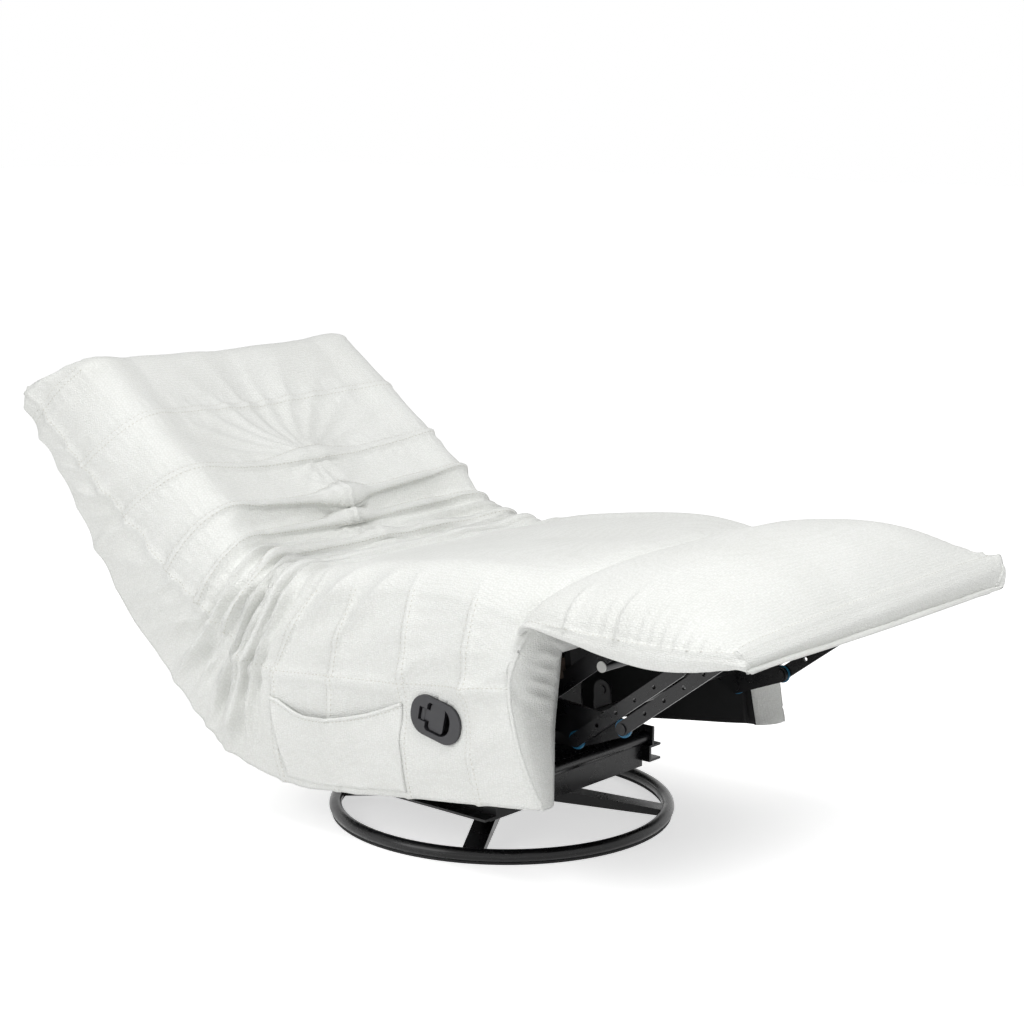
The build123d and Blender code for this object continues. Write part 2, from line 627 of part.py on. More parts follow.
def make_seat_cushion():
    pad = loft([seat_section(x) for x in stations(SEAT_HALF_W)], ruled=True)
    room_x = PANEL_INNER_X + BOARD_T + SOFT_GAP
    pad -= block(-room_x, room_x, SEAT_FRONT_Y - SOFT_GAP, RECLINE_PIVOT[0], 0, CUSHION_Z)
    pad -= back_room()
    arm = block(*hinge_slot_x(), FOOT_PIVOT[0] - EYE_R, FRAME_FRONT_Y, 0, FOOT_PIVOT[1] + EYE_R + SOFT_GAP)
    pad -= arm + other_side(arm)
    deck = block(-room_x, room_x, SEAT_FRONT_Y - SOFT_GAP, FRAME_FRONT_Y + SOFT_GAP, 0, PAD_Z)
    keep("seat_cushion", tip(pad - deck))


def make_side_panels():
    inner, outer = PANEL_INNER_X + BOARD_T, BODY_HALF_W
    shape = patch((SEAT_FRONT_Y, PANEL_BOTTOM_Z), (PANEL_BOTTOM_REAR_Y, PANEL_BOTTOM_Z), PANEL_HEEL,
                  (RECLINE_PIVOT[0], PANEL_SEAM_Z), (SEAT_FRONT_Y, PANEL_SEAM_Z))
    panel = slab(shape, inner, outer)
    rounded = [e for e in panel.edges() if abs(e.center().X - outer) < SEAM_GAP
               and e.center().Z < PANEL_SEAM_Z - SEAM_GAP and e.center().Y < PANEL_HEEL[0] - SEAM_GAP]
    panel = fillet(rounded, PANEL_ROUND) - back_room()
    keep("left_side_panel", tip(panel))
    keep("right_side_panel", tip(other_side(panel) - handle_room()))


def make_pocket():
    """A patch pocket open at its sagging top edge."""
    middle = (POCKET_FRONT_Y + POCKET_REAR_Y) / 2
    face = pocket_face(0, POCKET_TOP_Z, POCKET_SAG, middle)
    hollow = pocket_face(POCKET_WALL, POCKET_TOP_Z + POCKET_SAG, POCKET_SAG / 4, middle)
    x_in, x_out = -BODY_HALF_W, -BODY_HALF_W - POCKET_DEPTH
    pouch = slab(face, x_in, x_out) - slab(hollow, x_in, x_out + POCKET_WALL)
    keep("side_pocket", tip(pouch))


def pocket_face(inset, top, sag, middle):
    front, rear, bottom = POCKET_FRONT_Y + inset, POCKET_REAR_Y - inset, POCKET_BOTTOM_Z + inset
    sides = Polyline((front, top), (front, bottom), (rear, bottom), (rear, top))
    edge = ThreePointArc((rear, top), (middle, top - sag), (front, top))
    return make_face(sides.edges() + edge.edges())


def on_handle(outline):
    """An outline drawn with X along the handle to its rear end, laid on the side panel."""
    return Pos(*HANDLE_CENTRE) * Rot(0, 0, HANDLE_LEAN) * outline


def handle_plate(inset):
    return on_handle(RectangleRounded(HANDLE_L - 2 * inset, HANDLE_W - 2 * inset, HANDLE_CORNER_R - inset))


def handle_room():
    hole = handle_plate(HANDLE_RIM - HANDLE_WALL - SEAM_GAP)
    floor_x = -BODY_HALF_W + HANDLE_DEPTH - HANDLE_PROUD + HANDLE_WALL + SEAM_GAP
    return slab(hole, -BODY_HALF_W - PANEL_ROUND, floor_x)


HANDLE_HINGE = PADDLE_L / 2 + STEM_L - HANDLE_BARREL_D / 2
HANDLE_FACE_X = -BODY_HALF_W - HANDLE_PROUD
HANDLE_PIN_X = HANDLE_FACE_X + HANDLE_BARREL_D / 2 + PADDLE_GAP


def handle_place():
    """Frame on the handle: X along it to its rear, Y across it, Z out of the panel's face."""
    along_handle = (0, *turned((1, 0), HANDLE_LEAN))
    return Plane(origin=(HANDLE_PIN_X, *HANDLE_CENTRE), x_dir=along_handle, z_dir=(-1, 0, 0))


def paddle_head(gap):
    return RectangleRounded(PADDLE_L + 2 * gap, PADDLE_W + 2 * gap, PADDLE_CORNER_R)


def paddle_outline(gap):
    """The paddle with its narrow stem, grown by a gap."""
    stem_l = STEM_L + PADDLE_CORNER_R + gap
    stem = Pos((PADDLE_L - 2 * PADDLE_CORNER_R + stem_l) / 2, 0) * Rectangle(stem_l, STEM_W + 2 * gap)
    return paddle_head(gap) + stem


def make_handle():
    recess_w = PADDLE_W + 2 * PADDLE_GAP
    recess = RectangleRounded(PADDLE_L + RECESS_L, recess_w, RECESS_CORNER_R)
    mouth = paddle_outline(PADDLE_GAP) + Pos(PADDLE_SWING, 0) * paddle_head(PADDLE_GAP)
    mouth = on_handle(mouth + Pos(-RECESS_L / 2, 0) * recess)
    floor_x = HANDLE_FACE_X + HANDLE_DEPTH
    housing = slab(handle_plate(0), HANDLE_FACE_X, -BODY_HALF_W)
    housing += slab(handle_plate(HANDLE_RIM - HANDLE_WALL), -BODY_HALF_W, floor_x + HANDLE_WALL)
    rod = pivot_rod(HANDLE_PIN_D, STEM_W + 2 * HANDLE_PIN_GRIP)
    keep("handle_housing", tip(housing - slab(mouth, HANDLE_FACE_X, floor_x) - rod))
    keep("handle_pin", tip(rod))
    blade = handle_place() * extrude(paddle_outline(0), PADDLE_T / 2, both=True)
    blade += pivot_rod(HANDLE_BARREL_D, STEM_W)
    keep("handle_paddle", tip(blade - pivot_rod(HANDLE_PIN_D + 2 * RUN_GAP, HANDLE_W)))


def pivot_rod(diameter, length):
    """A rod on the paddle's hinge line."""
    rod = Pos(HANDLE_HINGE, 0, 0) * Rot(90, 0, 0) * Cylinder(diameter / 2, length)
    return handle_place() * rod


def spare_holes(start, end):
    """The unused holes that are punched along a bar."""
    holes = [Pos(*along(start, end, share)) * Circle(SPARE_HOLE_D / 2) for share in SPARE_HOLE_SHARES]
    return sum(holes[1:], holes[0])


def make_foot_linkage():
    crank = patch(CRANK_PIVOT, KNEES[0], KNEES[1])
    for a, b in ((CRANK_PIVOT, KNEES[0]), (KNEES[0], KNEES[1]), (CRANK_PIVOT, KNEES[1])):
        crank += bar(a, b, LINK_W)
    shaft = plus(CRANK_PIVOT, TORQUE_TUBE)
    crank -= bore(CRANK_PIVOT) + bore(KNEES[0], 0) + bore(KNEES[1], 0)
    lower = slab(crank, *layer(3))
    keep("lower_links", tip(lower), tip(other_side(lower)))
    keep("torque_tube", tip(tube_across(shaft, TORQUE_TUBE_D, layer(3)[0], TORQUE_TUBE_D / 8)))
    knees = [pin(knee, 3, 4, head_r=KNEE_HEAD_R) for knee in KNEES]
    keep("knee_pins", *[tip(k) for k in knees], *[tip(other_side(k)) for k in knees])
    x0, x1 = layer(3)[1], layer(4)[0] - RUN_GAP
    rings = [slab(eye(knee) - bore(knee, 0), x0, x1) for knee in KNEES]
    keep("knee_washers", *[tip(r) for r in rings], *[tip(other_side(r)) for r in rings])
    for name, knee, toe in zip(("rear_upper_links", "front_upper_links"), KNEES, TOES):
        upper = bar(knee, toe, UPPER_LINK_W) - bore(knee) - bore(toe, OPEN_GAP)
        upper = slab(upper - spare_holes(knee, toe), *layer(4))
        keep(name, tip(upper), tip(other_side(upper)))


def make_footrest():
    board_z = PAD_Z - SEAM_GAP - FOOT_BOARD_T
    board_y = (FOOT_TOE_Y + FOOT_BOARD_INSET, FOOT_PIVOT[0] - FOOT_BOARD_SETBACK)
    half = FOOT_HALF_W - FOOT_BOARD_INSET
    keep("footrest_board", tip(block(-half, half, *board_y, board_z, board_z + FOOT_BOARD_T)))
    under = patch((board_y[1], board_z), (TOES[1][0] - EYE_R, board_z), TOES[1], TOES[0])
    outline = under
    for a, b in ((FOOT_PIVOT, TOES[0]), (TOES[0], TOES[1])):
        outline += bar(a, b, LINK_W)
    above = Rectangle(board_y[1] - FOOT_TOE_Y, PAD_Z)
    outline -= Pos(*along((FOOT_TOE_Y, board_z), (board_y[1], board_z + PAD_Z), 0.5)) * above
    outline -= bore(FOOT_PIVOT) + bore(TOES[0], 0) + bore(TOES[1], 0)
    bracket = slab(outline, *layer(3))
    keep("footrest_brackets", tip(bracket), tip(other_side(bracket)))
    pins = [pin(toe, 3, 4) for toe in TOES]
    keep("toe_pins", *[tip(p) for p in pins], *[tip(other_side(p)) for p in pins])
    pad = loft([foot_section(x) for x in stations(FOOT_HALF_W)], ruled=True)
    slot = block(*hinge_slot_x(), board_y[1] - SOFT_GAP, FOOT_PIVOT[0] + EYE_R, 0,
                 FOOT_PIVOT[1] + EYE_R + SOFT_GAP)
    room_x = half + SOFT_GAP
    room = block(-room_x, room_x, board_y[0] - SOFT_GAP, FOOT_PIVOT[0], 0, PAD_Z)
    keep("footrest_cushion", tip(pad - slot - other_side(slot) - room))


def foot_section(x):
    """Side outline of the footrest pad at one place across it, from its underside round."""
    top = crown(x, FOOT_HALF_W, FOOT_EDGE_Z, FOOT_CROWN_Z, FOOT_ROLL_POWER)
    rise, _ = pad_rise(top, FOOT_EDGE_Z, FOOT_CROWN_Z)
    rear_y = FOOT_PIVOT[0] - SOFT_GAP
    ball_z = FOOT_EDGE_Z + (top - FOOT_EDGE_Z) * BALL_HEIGHT_SHARE
    corners = [(FOOT_TOE_Y, FOOT_SKIRT_Z, 0), (FOOT_PIVOT[0] - FOOT_BOARD_SETBACK, FOOT_SKIRT_Z, 0)]
    corners += [(rear_y, PAD_Z, 0), (rear_y, top - rise, rise), (FOOT_CREST_Y, top - rise, BALL_RISE)]
    corners += [(FOOT_BALL_Y, ball_z, BALL_RISE), (FOOT_TOE_Y, FOOT_EDGE_Z, 0)]
    return outline_face(x, corners)


def back_section(x):
    """Side outline of the flat back's cushion at one place across it."""
    front = crown(x, BACK_HALF_W, BACK_EDGE_N, BACK_FRONT_N, BACK_ROLL_POWER)
    front -= BACK_DISH * max(0.0, 1 - (x / BACK_DISH_HALF_W) ** 2)
    share = (front - BACK_EDGE_N) / (BACK_FRONT_N - BACK_EDGE_N)
    depth = CHANNEL_RISE * (GROOVE_EDGE_SHARE + (1 - GROOVE_EDGE_SHARE) * abs(share))
    groove = BACK_TUFT if x == 0 else depth
    corners = [(0, BACK_FACE_N, 0), (BACK_TOP_U, BACK_FACE_N, CHANNEL_RISE / 2)]
    corners += [(BACK_CREST_U, front - CHANNEL_RISE, CHANNEL_RISE)]
    corners += [(u, front + flare(u) - groove, CHANNEL_RISE) for u in BACK_SEAMS_U]
    return outline_face(x, corners + [(0, front + flare(0) - groove, 0)])


def flare(u):
    """How much thicker the back's pad is at a height, towards its foot."""
    return BACK_FLARE * (1 - u / BACK_TOP_U)


def make_back():
    pad = loft([back_section(x) for x in stations(BACK_HALF_W)], ruled=True)
    roll_half = BACK_HALF_W - ROLL_DRAW_IN
    roll = disc((0, 0), ROLL_R, -roll_half, roll_half)
    roll = fillet(roll.edges().filter_by(GeomType.CIRCLE), ROLL_ROUND)
    slot = disc((0, 0), ROLL_R + SOFT_GAP, hinge_slot_x()[0], HINGE_SLOT_OUTER_X)
    slots = slot + other_side(slot)
    keep("back_cushion", raise_back(pad + roll - slots))

    rim = BACK_FACE_N - SEAM_GAP
    outer = patch((0, rim), COVER_FOOT, COVER_TOP, (BACK_TOP_U, rim))
    shift = COVER_WALL
    hollow = patch((0, 0), plus(COVER_FOOT, (0, shift)), plus(COVER_TOP, (-2 * shift, shift)),
                   (BACK_TOP_U - shift, 0))
    cover = slab(outer, -BACK_HALF_W, BACK_HALF_W)
    rear = [e for e in cover.edges() if e.center().Z < rim - COVER_ROUND]
    cover = fillet(rear, COVER_ROUND)
    cover -= slab(hollow, shift - BACK_HALF_W, BACK_HALF_W - shift)
    cover -= disc((0, 0), ROLL_R + SEAM_GAP, -2 * BACK_HALF_W, 2 * BACK_HALF_W)
    keep("back_cover", raise_back(cover.solids().sort_by(SortBy.VOLUME)[-1]))

    post_x = layer(3)[1]
    post_n = (POST_N, POST_N + POST_T)
    post = block(post_x, post_x + POST_W, POST_FOOT_U, POST_TOP_U, *post_n)
    keep("back_posts", raise_back(post), raise_back(other_side(post)))
    top = block(-post_x, post_x, POST_TOP_U - TOP_RAIL_H, POST_TOP_U, *post_n)
    keep("back_top_rail", raise_back(top))
    low_x = layer(3)[0]
    low = block(-low_x, low_x, POST_FOOT_U, POST_FOOT_U + LOWER_RAIL_H, *post_n)
    keep("back_lower_rail", raise_back(low))
    span = POST_TOP_U - POST_FOOT_U - TOP_RAIL_H - LOWER_RAIL_H
    straps = []
    for i in range(STRAP_COUNT):
        u = POST_FOOT_U + LOWER_RAIL_H + span * (i + 0.5) / STRAP_COUNT
        half = post_x + POST_W
        straps.append(block(-half, half, u - STRAP_W / 2, u + STRAP_W / 2, post_n[1], post_n[1] + STRAP_T))
    keep("back_webbing", *[raise_back(s) for s in straps])

    post_mid = (post_n[0] + post_n[1]) / 2
    elbow, tail = (POST_FOOT_U, post_mid), (BRACKET_REACH_U, post_mid)
    lever = flat_back(RECLINE_JOINT)
    arm = bar((0, 0), elbow, LINK_W) + bar(elbow, tail, LINK_W) + bar((0, 0), lever, LINK_W)
    bracket = slab(arm - bore((0, 0)) - bore(lever, 0), *layer(3))
    keep("back_brackets", raise_back(bracket), raise_back(other_side(bracket)))
    joint = pin(lever, 3, 4)
    keep("recline_joint_pins", raise_back(joint), raise_back(other_side(joint)))


def main():
    make_base()
    make_swivel()
    make_turntable()
    make_glide_links()
    make_mechanism_frame()
    make_recline_links()
    make_side_plates()
    make_seat_frame()
    make_seat_cushion()
    make_side_panels()
    make_pocket()
    make_handle()
    make_foot_linkage()
    make_footrest()
    make_back()
    os.makedirs("parts", exist_ok=True)
    for name, shape in NODES.items():
        export_step(shape, f"parts/{name}.step")
        print(name, len(shape.solids()), "solids", round(shape.volume / 1000, 1), "cm3")


main()
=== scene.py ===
# %% [markdown]
# A swivel glider recliner, laid back with its footrest out. The CAD frame holds its metalwork, boards and
# handle, each as an object in its place, and these only need finishes. The upholstery is what CAD solids
# show least well: cloth drawn over stuffing. It is made here as one padded cover for the back, the seat and
# its sides, one pad for the footrest, and a patch pocket. Sizes are in millimetres in the CAD frame, with
# the front towards -Y, unless a comment says metres.

# %% Load the frame
import json
import math

import bmesh
import bpy
import numpy as np
from mathutils import Matrix, Vector
from mathutils.bvhtree import BVHTree


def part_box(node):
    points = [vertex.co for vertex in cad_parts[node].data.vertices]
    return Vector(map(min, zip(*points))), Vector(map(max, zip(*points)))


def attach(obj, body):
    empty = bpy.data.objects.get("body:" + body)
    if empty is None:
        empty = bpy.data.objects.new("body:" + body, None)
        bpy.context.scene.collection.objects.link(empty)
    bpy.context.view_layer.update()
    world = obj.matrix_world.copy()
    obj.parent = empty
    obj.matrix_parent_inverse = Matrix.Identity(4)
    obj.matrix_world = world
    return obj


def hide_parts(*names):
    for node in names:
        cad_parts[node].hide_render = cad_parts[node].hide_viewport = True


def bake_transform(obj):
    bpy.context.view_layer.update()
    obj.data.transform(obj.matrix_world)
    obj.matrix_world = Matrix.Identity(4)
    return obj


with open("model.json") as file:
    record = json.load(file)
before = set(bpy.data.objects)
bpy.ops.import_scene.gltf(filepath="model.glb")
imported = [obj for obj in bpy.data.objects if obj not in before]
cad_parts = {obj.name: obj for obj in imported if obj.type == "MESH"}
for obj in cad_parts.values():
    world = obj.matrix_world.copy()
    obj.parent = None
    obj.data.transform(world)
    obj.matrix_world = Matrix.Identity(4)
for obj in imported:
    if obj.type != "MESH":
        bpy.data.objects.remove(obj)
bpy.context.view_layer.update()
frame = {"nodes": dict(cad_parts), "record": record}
scene = bpy.context.scene
MM = 0.001
print("CAD nodes loaded:", len(frame["nodes"]))

# %% [markdown]
# The camera. It could be aimed by eye, but every size would then be judged through the wrong lens. Its
# place, turn and focal length were solved instead from the ring base and the side panel in the photograph.
# Its three axes are the columns of its matrix.

# %% Camera
# Place in metres.
CAMERA_AT = (-2.8709, -2.4005, 1.2261)
CAMERA_RIGHT = (0.64068, -0.76772, 0.01184)
CAMERA_UP = (0.13233, 0.12560, 0.98322)
CAMERA_BACK = (-0.75632, -0.62836, 0.18206)
SENSOR_MM = 36.0
FOCAL_PX = 2200.0
FRAME_PX = 1024


def add_camera():
    data = bpy.data.cameras.new("camera")
    data.sensor_width = SENSOR_MM
    data.lens = FOCAL_PX / FRAME_PX * SENSOR_MM
    data.clip_end = 50
    camera = bpy.data.objects.new("camera", data)
    scene.collection.objects.link(camera)
    turn = Matrix((CAMERA_RIGHT, CAMERA_UP, CAMERA_BACK)).transposed()
    camera.matrix_world = Matrix.Translation(CAMERA_AT) @ turn.to_4x4()
    return camera


scene.camera = add_camera()
print(f"camera lens: {scene.camera.data.lens:.1f} mm")

# %% [markdown]
# Shader nodes are added by kind and joined socket to socket. In Blender's editor that is done with the
# mouse. Here one function does it for every node, so a material below reads as a list of what it is made
# of. Colours are written in sRGB hex, as on a screen, and turned to the linear light of the renderer.

# %% Colours and nodes
def linear(value):
    """One sRGB channel from 0 to 1 as linear light."""
    return value / 12.92 if value <= 0.04045 else ((value + 0.055) / 1.055) ** 2.4


def colour(code):
    """A hex sRGB colour as linear RGBA."""
    channels = [int(code[i:i + 2], 16) / 255 for i in (1, 3, 5)]
    return (*[linear(c) for c in channels], 1.0)


def fill(tree, node, inputs):
    """Sets a node's inputs. A node or socket as value is linked, a node from its first output."""
    for name, value in inputs.items():
        if isinstance(value, bpy.types.Node):
            value = value.outputs[0]
        if isinstance(value, bpy.types.NodeSocket):
            tree.links.new(value, node.inputs[name])
        else:
            node.inputs[name].default_value = value


def add_node(tree, kind, inputs=None, **settings):
    """Adds a node with its settings and its inputs."""
    node = tree.nodes.new("ShaderNode" + kind)
    for name, value in settings.items():
        setattr(node, name, value)
    fill(tree, node, inputs or {})
    return node


WHITE = colour("#FFFFFF")
print("white as linear light:", WHITE)

# %% [markdown]
# The light of a photo studio: white paper all round, a large soft lamp overhead and a weaker one at the
# side. A picture of a studio could light the scene as well, but plain lamps are easier to match to the
# shades of the photograph. The paper is plain white where it is seen, also in a shine, while the light that
# it throws on the chair is weaker, so that the folds keep their shade.

# %% World and lamps
WORLD_LIGHT = 0.42
# Where the lamps point, in metres.
LIGHT_AIM = (0, 0, 0.4)
# Lamp: name, place and size in metres, power in watts.
LIGHTS = (("overhead", (-0.8, -1.7, 3.3), 2.6, 77), ("side", (-3.6, 0.9, 1.9), 2.4, 42))


def background_rays(tree):
    """1 for rays that see the background directly, in a shine or through glass, and 0 for the rest."""
    path = add_node(tree, "LightPath")
    shown = path.outputs["Is Camera Ray"]
    for name in ("Is Glossy Ray", "Is Transmission Ray"):
        shown = add_node(tree, "Math", {0: shown, 1: path.outputs[name]}, operation="MAXIMUM")
    return shown


def add_world():
    world = bpy.data.worlds.new("studio")
    scene.world = world
    world.use_nodes = True
    tree = world.node_tree
    soft = tree.nodes["Background"]
    fill(tree, soft, {"Color": WHITE, "Strength": WORLD_LIGHT})
    paper = add_node(tree, "Background", {"Color": WHITE})
    choose = add_node(tree, "MixShader", {0: background_rays(tree), 1: soft, 2: paper})
    fill(tree, tree.nodes["World Output"], {"Surface": choose})


def add_light(name, at, size, power):
    data = bpy.data.lights.new(name, "AREA")
    data.shape = "DISK"
    data.size = size
    data.energy = power
    lamp = bpy.data.objects.new(name, data)
    scene.collection.objects.link(lamp)
    lamp.location = at
    aim = Vector(LIGHT_AIM) - Vector(at)
    lamp.rotation_euler = aim.to_track_quat("-Z", "Y").to_euler()


add_world()
for light in LIGHTS:
    add_light(*light)
print("lamps:", ", ".join(light[0] for light in LIGHTS))

# %% [markdown]
# Every material starts the same way, with Blender's Principled shader and the piece's own Object
# coordinates in metres. A picture could be wrapped round each piece, but a pattern worked out from its
# place needs no UV map. The size of each pattern is given in millimetres, as it would be measured.

# %% The start of a material
# Sockets of the Mix node for colours: the share of the second, the two colours, and the mixed colour.
MIX_SHARE, MIX_A, MIX_B, MIX_OUT = 0, 6, 7, 2


def per_metre(size_mm):
    """How many features of a size in millimetres go into a metre, which is a texture's scale."""
    return 1 / (size_mm * MM)


def new_material(name):
    """A material, its node tree, its shader and the output that gives Object coordinates."""
    material = bpy.data.materials.new(name)
    material.use_nodes = True
    tree = material.node_tree
    place = add_node(tree, "TexCoord").outputs["Object"]
    return material, tree, tree.nodes["Principled BSDF"], place


print(f"a 25 mm pattern has scale {per_metre(25):.0f}")

# %% [markdown]
# The floor is the studio's paper. A white plane under lamps still renders a little grey, so it glows too,
# but only for the rays that look at it, and the chair gets no more light from it than falls on it.

# %% Floor of white paper
# Side of the floor in metres.
FLOOR_SIZE = 60
FLOOR_GLOW = 0.60
PAPER_FIBRE_MM = 25.0


def paper_material():
    """Matt paper: no shine, and hardly any unevenness."""
    material, tree, shader, place = new_material("floor_paper")
    fibre = add_node(tree, "TexNoise", {"Vector": place, "Scale": per_metre(PAPER_FIBRE_MM), "Detail": 3.0})
    even = add_node(tree, "MapRange", {"Value": fibre, "From Min": 0.3, "From Max": 0.7, "To Min": 0.97})
    tint = {MIX_SHARE: even, MIX_A: colour("#F2F2F2"), MIX_B: WHITE}
    shade = add_node(tree, "Mix", tint, data_type="RGBA").outputs[MIX_OUT]
    glow = add_node(tree, "Math", {0: background_rays(tree), 1: FLOOR_GLOW}, operation="MULTIPLY")
    fill(tree, shader, {"Base Color": shade, "Roughness": 0.9, "IOR": 1.5,
                        "Emission Color": WHITE, "Emission Strength": glow})
    return material


def add_floor():
    bpy.ops.mesh.primitive_plane_add(size=FLOOR_SIZE)
    floor = bpy.context.object
    floor.name = "floor"
    floor.data.materials.append(paper_material())


add_floor()
print("floor size, m:", FLOOR_SIZE)

# %% [markdown]
# The cloth is chenille, woven from plump tufted yarn, and the thread of its seams is made the same way but
# finer. A tiling picture of cloth would repeat. Voronoi cells, squeezed level, give plump ribs in rows. A
# slow noise bends the rows, a fine one makes the yarn fuzzy, and a broad one leaves the tone a little
# uneven. The colour is painted paler on the tops of the ribs and darker between them, which is painted
# light and shade of the weave. Real ribs are finer than these, but would not show in the render. Light
# scatters in the pile, so the eye sees a rough, pale cloth with a soft sheen and almost no shine.

# %% Chenille and thread
# Rib: its size along x, y and z.
RIB_MM = (4.65, 4.65, 3.03)
RIB_BEND_MM = 38.5
FUZZ_MM = 0.667
FUZZ_SHARE = 0.35
TONE_PATCH_MM = 200.0
# How far rows are bent, and the relief of each cloth, in metres.
RIB_BEND_BY = 0.003
CHENILLE_DEPTH = 0.0012
THREAD_DEPTH = 0.0002


def bent_place(tree, place):
    """Object coordinates pushed about by a slow noise, so that rows don't run dead straight."""
    slow = add_node(tree, "TexNoise", {"Vector": place, "Scale": per_metre(RIB_BEND_MM), "Detail": 2.0})
    push = {0: slow.outputs["Color"], "Scale": RIB_BEND_BY}
    bend = add_node(tree, "VectorMath", push, operation="SCALE")
    return add_node(tree, "VectorMath", {0: place, 1: bend}, operation="ADD")


def rib_height(tree, place, finer):
    """1 on the back of each rib, falling to 0 between the ribs."""
    scale = [per_metre(size) * finer for size in RIB_MM]
    squeeze = add_node(tree, "Mapping", {"Vector": bent_place(tree, place), "Scale": scale})
    ribs = add_node(tree, "TexVoronoi", {"Vector": squeeze, "Scale": 1.0, "Randomness": 0.5})
    fall = {"Value": ribs, "From Min": 0.0, "From Max": 0.7, "To Min": 1.0, "To Max": 0.0}
    return add_node(tree, "MapRange", fall)


def woven_fabric(name, light, dark, finer, depth):
    material, tree, shader, place = new_material(name)
    plump = rib_height(tree, place, finer)
    fine = {"Vector": place, "Scale": per_metre(FUZZ_MM), "Detail": 2.0, "Roughness": 0.6}
    fuzz = add_node(tree, "TexNoise", fine)
    fuzzy = add_node(tree, "Math", {0: fuzz, 1: FUZZ_SHARE}, operation="MULTIPLY")
    yarn = add_node(tree, "Math", {0: plump, 1: fuzzy}, operation="ADD")
    broad = {"Vector": place, "Scale": per_metre(TONE_PATCH_MM), "Detail": 4.0, "Roughness": 0.6}
    patch = {"Value": add_node(tree, "TexNoise", broad), "From Min": 0.3, "From Max": 0.75, "To Max": 0.35}
    # Painted light and shade of the ribs: paler on their tops, darker in the grooves between them. The
    # broad patch adds uneven tone.
    pale = add_node(tree, "Math", {0: plump, 1: 0.7}, operation="MULTIPLY")
    tone = add_node(tree, "Math", {0: pale, 1: add_node(tree, "MapRange", patch)}, operation="ADD")
    share = add_node(tree, "Math", {0: tone, 1: 1.0}, operation="MINIMUM")
    tint = {MIX_SHARE: share, MIX_A: colour(dark), MIX_B: colour(light)}
    relief = add_node(tree, "Bump", {"Height": yarn, "Strength": 0.8, "Distance": depth})
    fill(tree, shader, {"Base Color": add_node(tree, "Mix", tint, data_type="RGBA").outputs[MIX_OUT],
                        "Roughness": 0.92, "IOR": 1.5, "Specular IOR Level": 0.12, "Sheen Weight": 0.12,
                        "Sheen Roughness": 0.5, "Normal": relief})
    return material


CHENILLE = woven_fabric("chenille", "#F3F4F2", "#DFE0DC", 1.0, CHENILLE_DEPTH)
THREAD = woven_fabric("thread", "#E6E5DE", "#CFCDC4", 4.0, THREAD_DEPTH)
print("cloth materials:", CHENILLE.name, THREAD.name)

# %% [markdown]
# The ring, arms, links and rails are steel under black powder coat, a paint that is melted on. It could be
# plain black, but real coat has a fine orange peel that breaks up a shine, and duller patches where it is
# rubbed or dusty. The eye sees deep black with soft, slightly ragged highlights.

# %% Powder-coated steel
PEEL_MM = 2.38
DULL_PATCH_MM = 55.6
COAT_TONE_MM = 111.0
# Relief in metres.
PEEL_DEPTH = 0.0004


def powder_coat(name, code, dusty_code, roughness):
    material, tree, shader, place = new_material(name)
    peel = add_node(tree, "TexNoise", {"Vector": place, "Scale": per_metre(PEEL_MM), "Detail": 2.0})
    rubbed = {"Vector": place, "Scale": per_metre(DULL_PATCH_MM), "Detail": 5.0, "Roughness": 0.65}
    dull = add_node(tree, "MapRange", {"Value": add_node(tree, "TexNoise", rubbed), "From Min": 0.4,
                                       "From Max": 0.7, "To Min": roughness, "To Max": roughness + 0.16})
    dust = add_node(tree, "TexNoise", {"Vector": place, "Scale": per_metre(COAT_TONE_MM), "Detail": 3.0})
    share = add_node(tree, "MapRange", {"Value": dust, "From Min": 0.35, "From Max": 0.65})
    tint = {MIX_SHARE: share, MIX_A: colour(code), MIX_B: colour(dusty_code)}
    relief = add_node(tree, "Bump", {"Height": peel, "Strength": 0.12, "Distance": PEEL_DEPTH})
    fill(tree, shader, {"Base Color": add_node(tree, "Mix", tint, data_type="RGBA").outputs[MIX_OUT],
                        "Roughness": dull, "IOR": 1.5, "Specular IOR Level": 0.3, "Coat Weight": 0.15,
                        "Coat Roughness": 0.15, "Normal": relief})
    return material


POWDER_COAT = powder_coat("black_powder_coat", "#0B0B0C", "#1A1A1C", 0.24)
print("steel finish:", POWDER_COAT.name)

# %% [markdown]
# Pins, bolts and balls are zinc-plated steel. Bare polished metal would mirror the studio sharply. Plating
# is a little cloudy and worn, so its roughness and tone wander, and the eye sees a bright grey with
# blurred highlights. It is all metal, so it keeps the shader's default IOR.

# %% Zinc plate
WORN_PATCH_MM = 16.7
ZINC_CLOUD_MM = 40.0
ZINC_GRAIN_MM = 1.43
# Relief in metres.
ZINC_DEPTH = 0.0003


def zinc_plate(name, code, cloudy_code):
    material, tree, shader, place = new_material(name)
    patches = {"Vector": place, "Scale": per_metre(WORN_PATCH_MM), "Detail": 5.0, "Roughness": 0.7}
    worn = add_node(tree, "MapRange", {"Value": add_node(tree, "TexNoise", patches), "From Min": 0.3,
                                       "From Max": 0.7, "To Min": 0.28, "To Max": 0.5})
    cloud = add_node(tree, "TexNoise", {"Vector": place, "Scale": per_metre(ZINC_CLOUD_MM), "Detail": 3.0})
    tint = {MIX_SHARE: cloud, MIX_A: colour(code), MIX_B: colour(cloudy_code)}
    grain = add_node(tree, "TexNoise", {"Vector": place, "Scale": per_metre(ZINC_GRAIN_MM), "Detail": 3.0})
    relief = add_node(tree, "Bump", {"Height": grain, "Strength": 0.1, "Distance": ZINC_DEPTH})
    fill(tree, shader, {"Base Color": add_node(tree, "Mix", tint, data_type="RGBA").outputs[MIX_OUT],
                        "Metallic": 1.0, "Roughness": worn, "Normal": relief})
    return material


ZINC = zinc_plate("zinc_plate", "#B9BBBF", "#8E8F92")
print("plated finish:", ZINC.name)

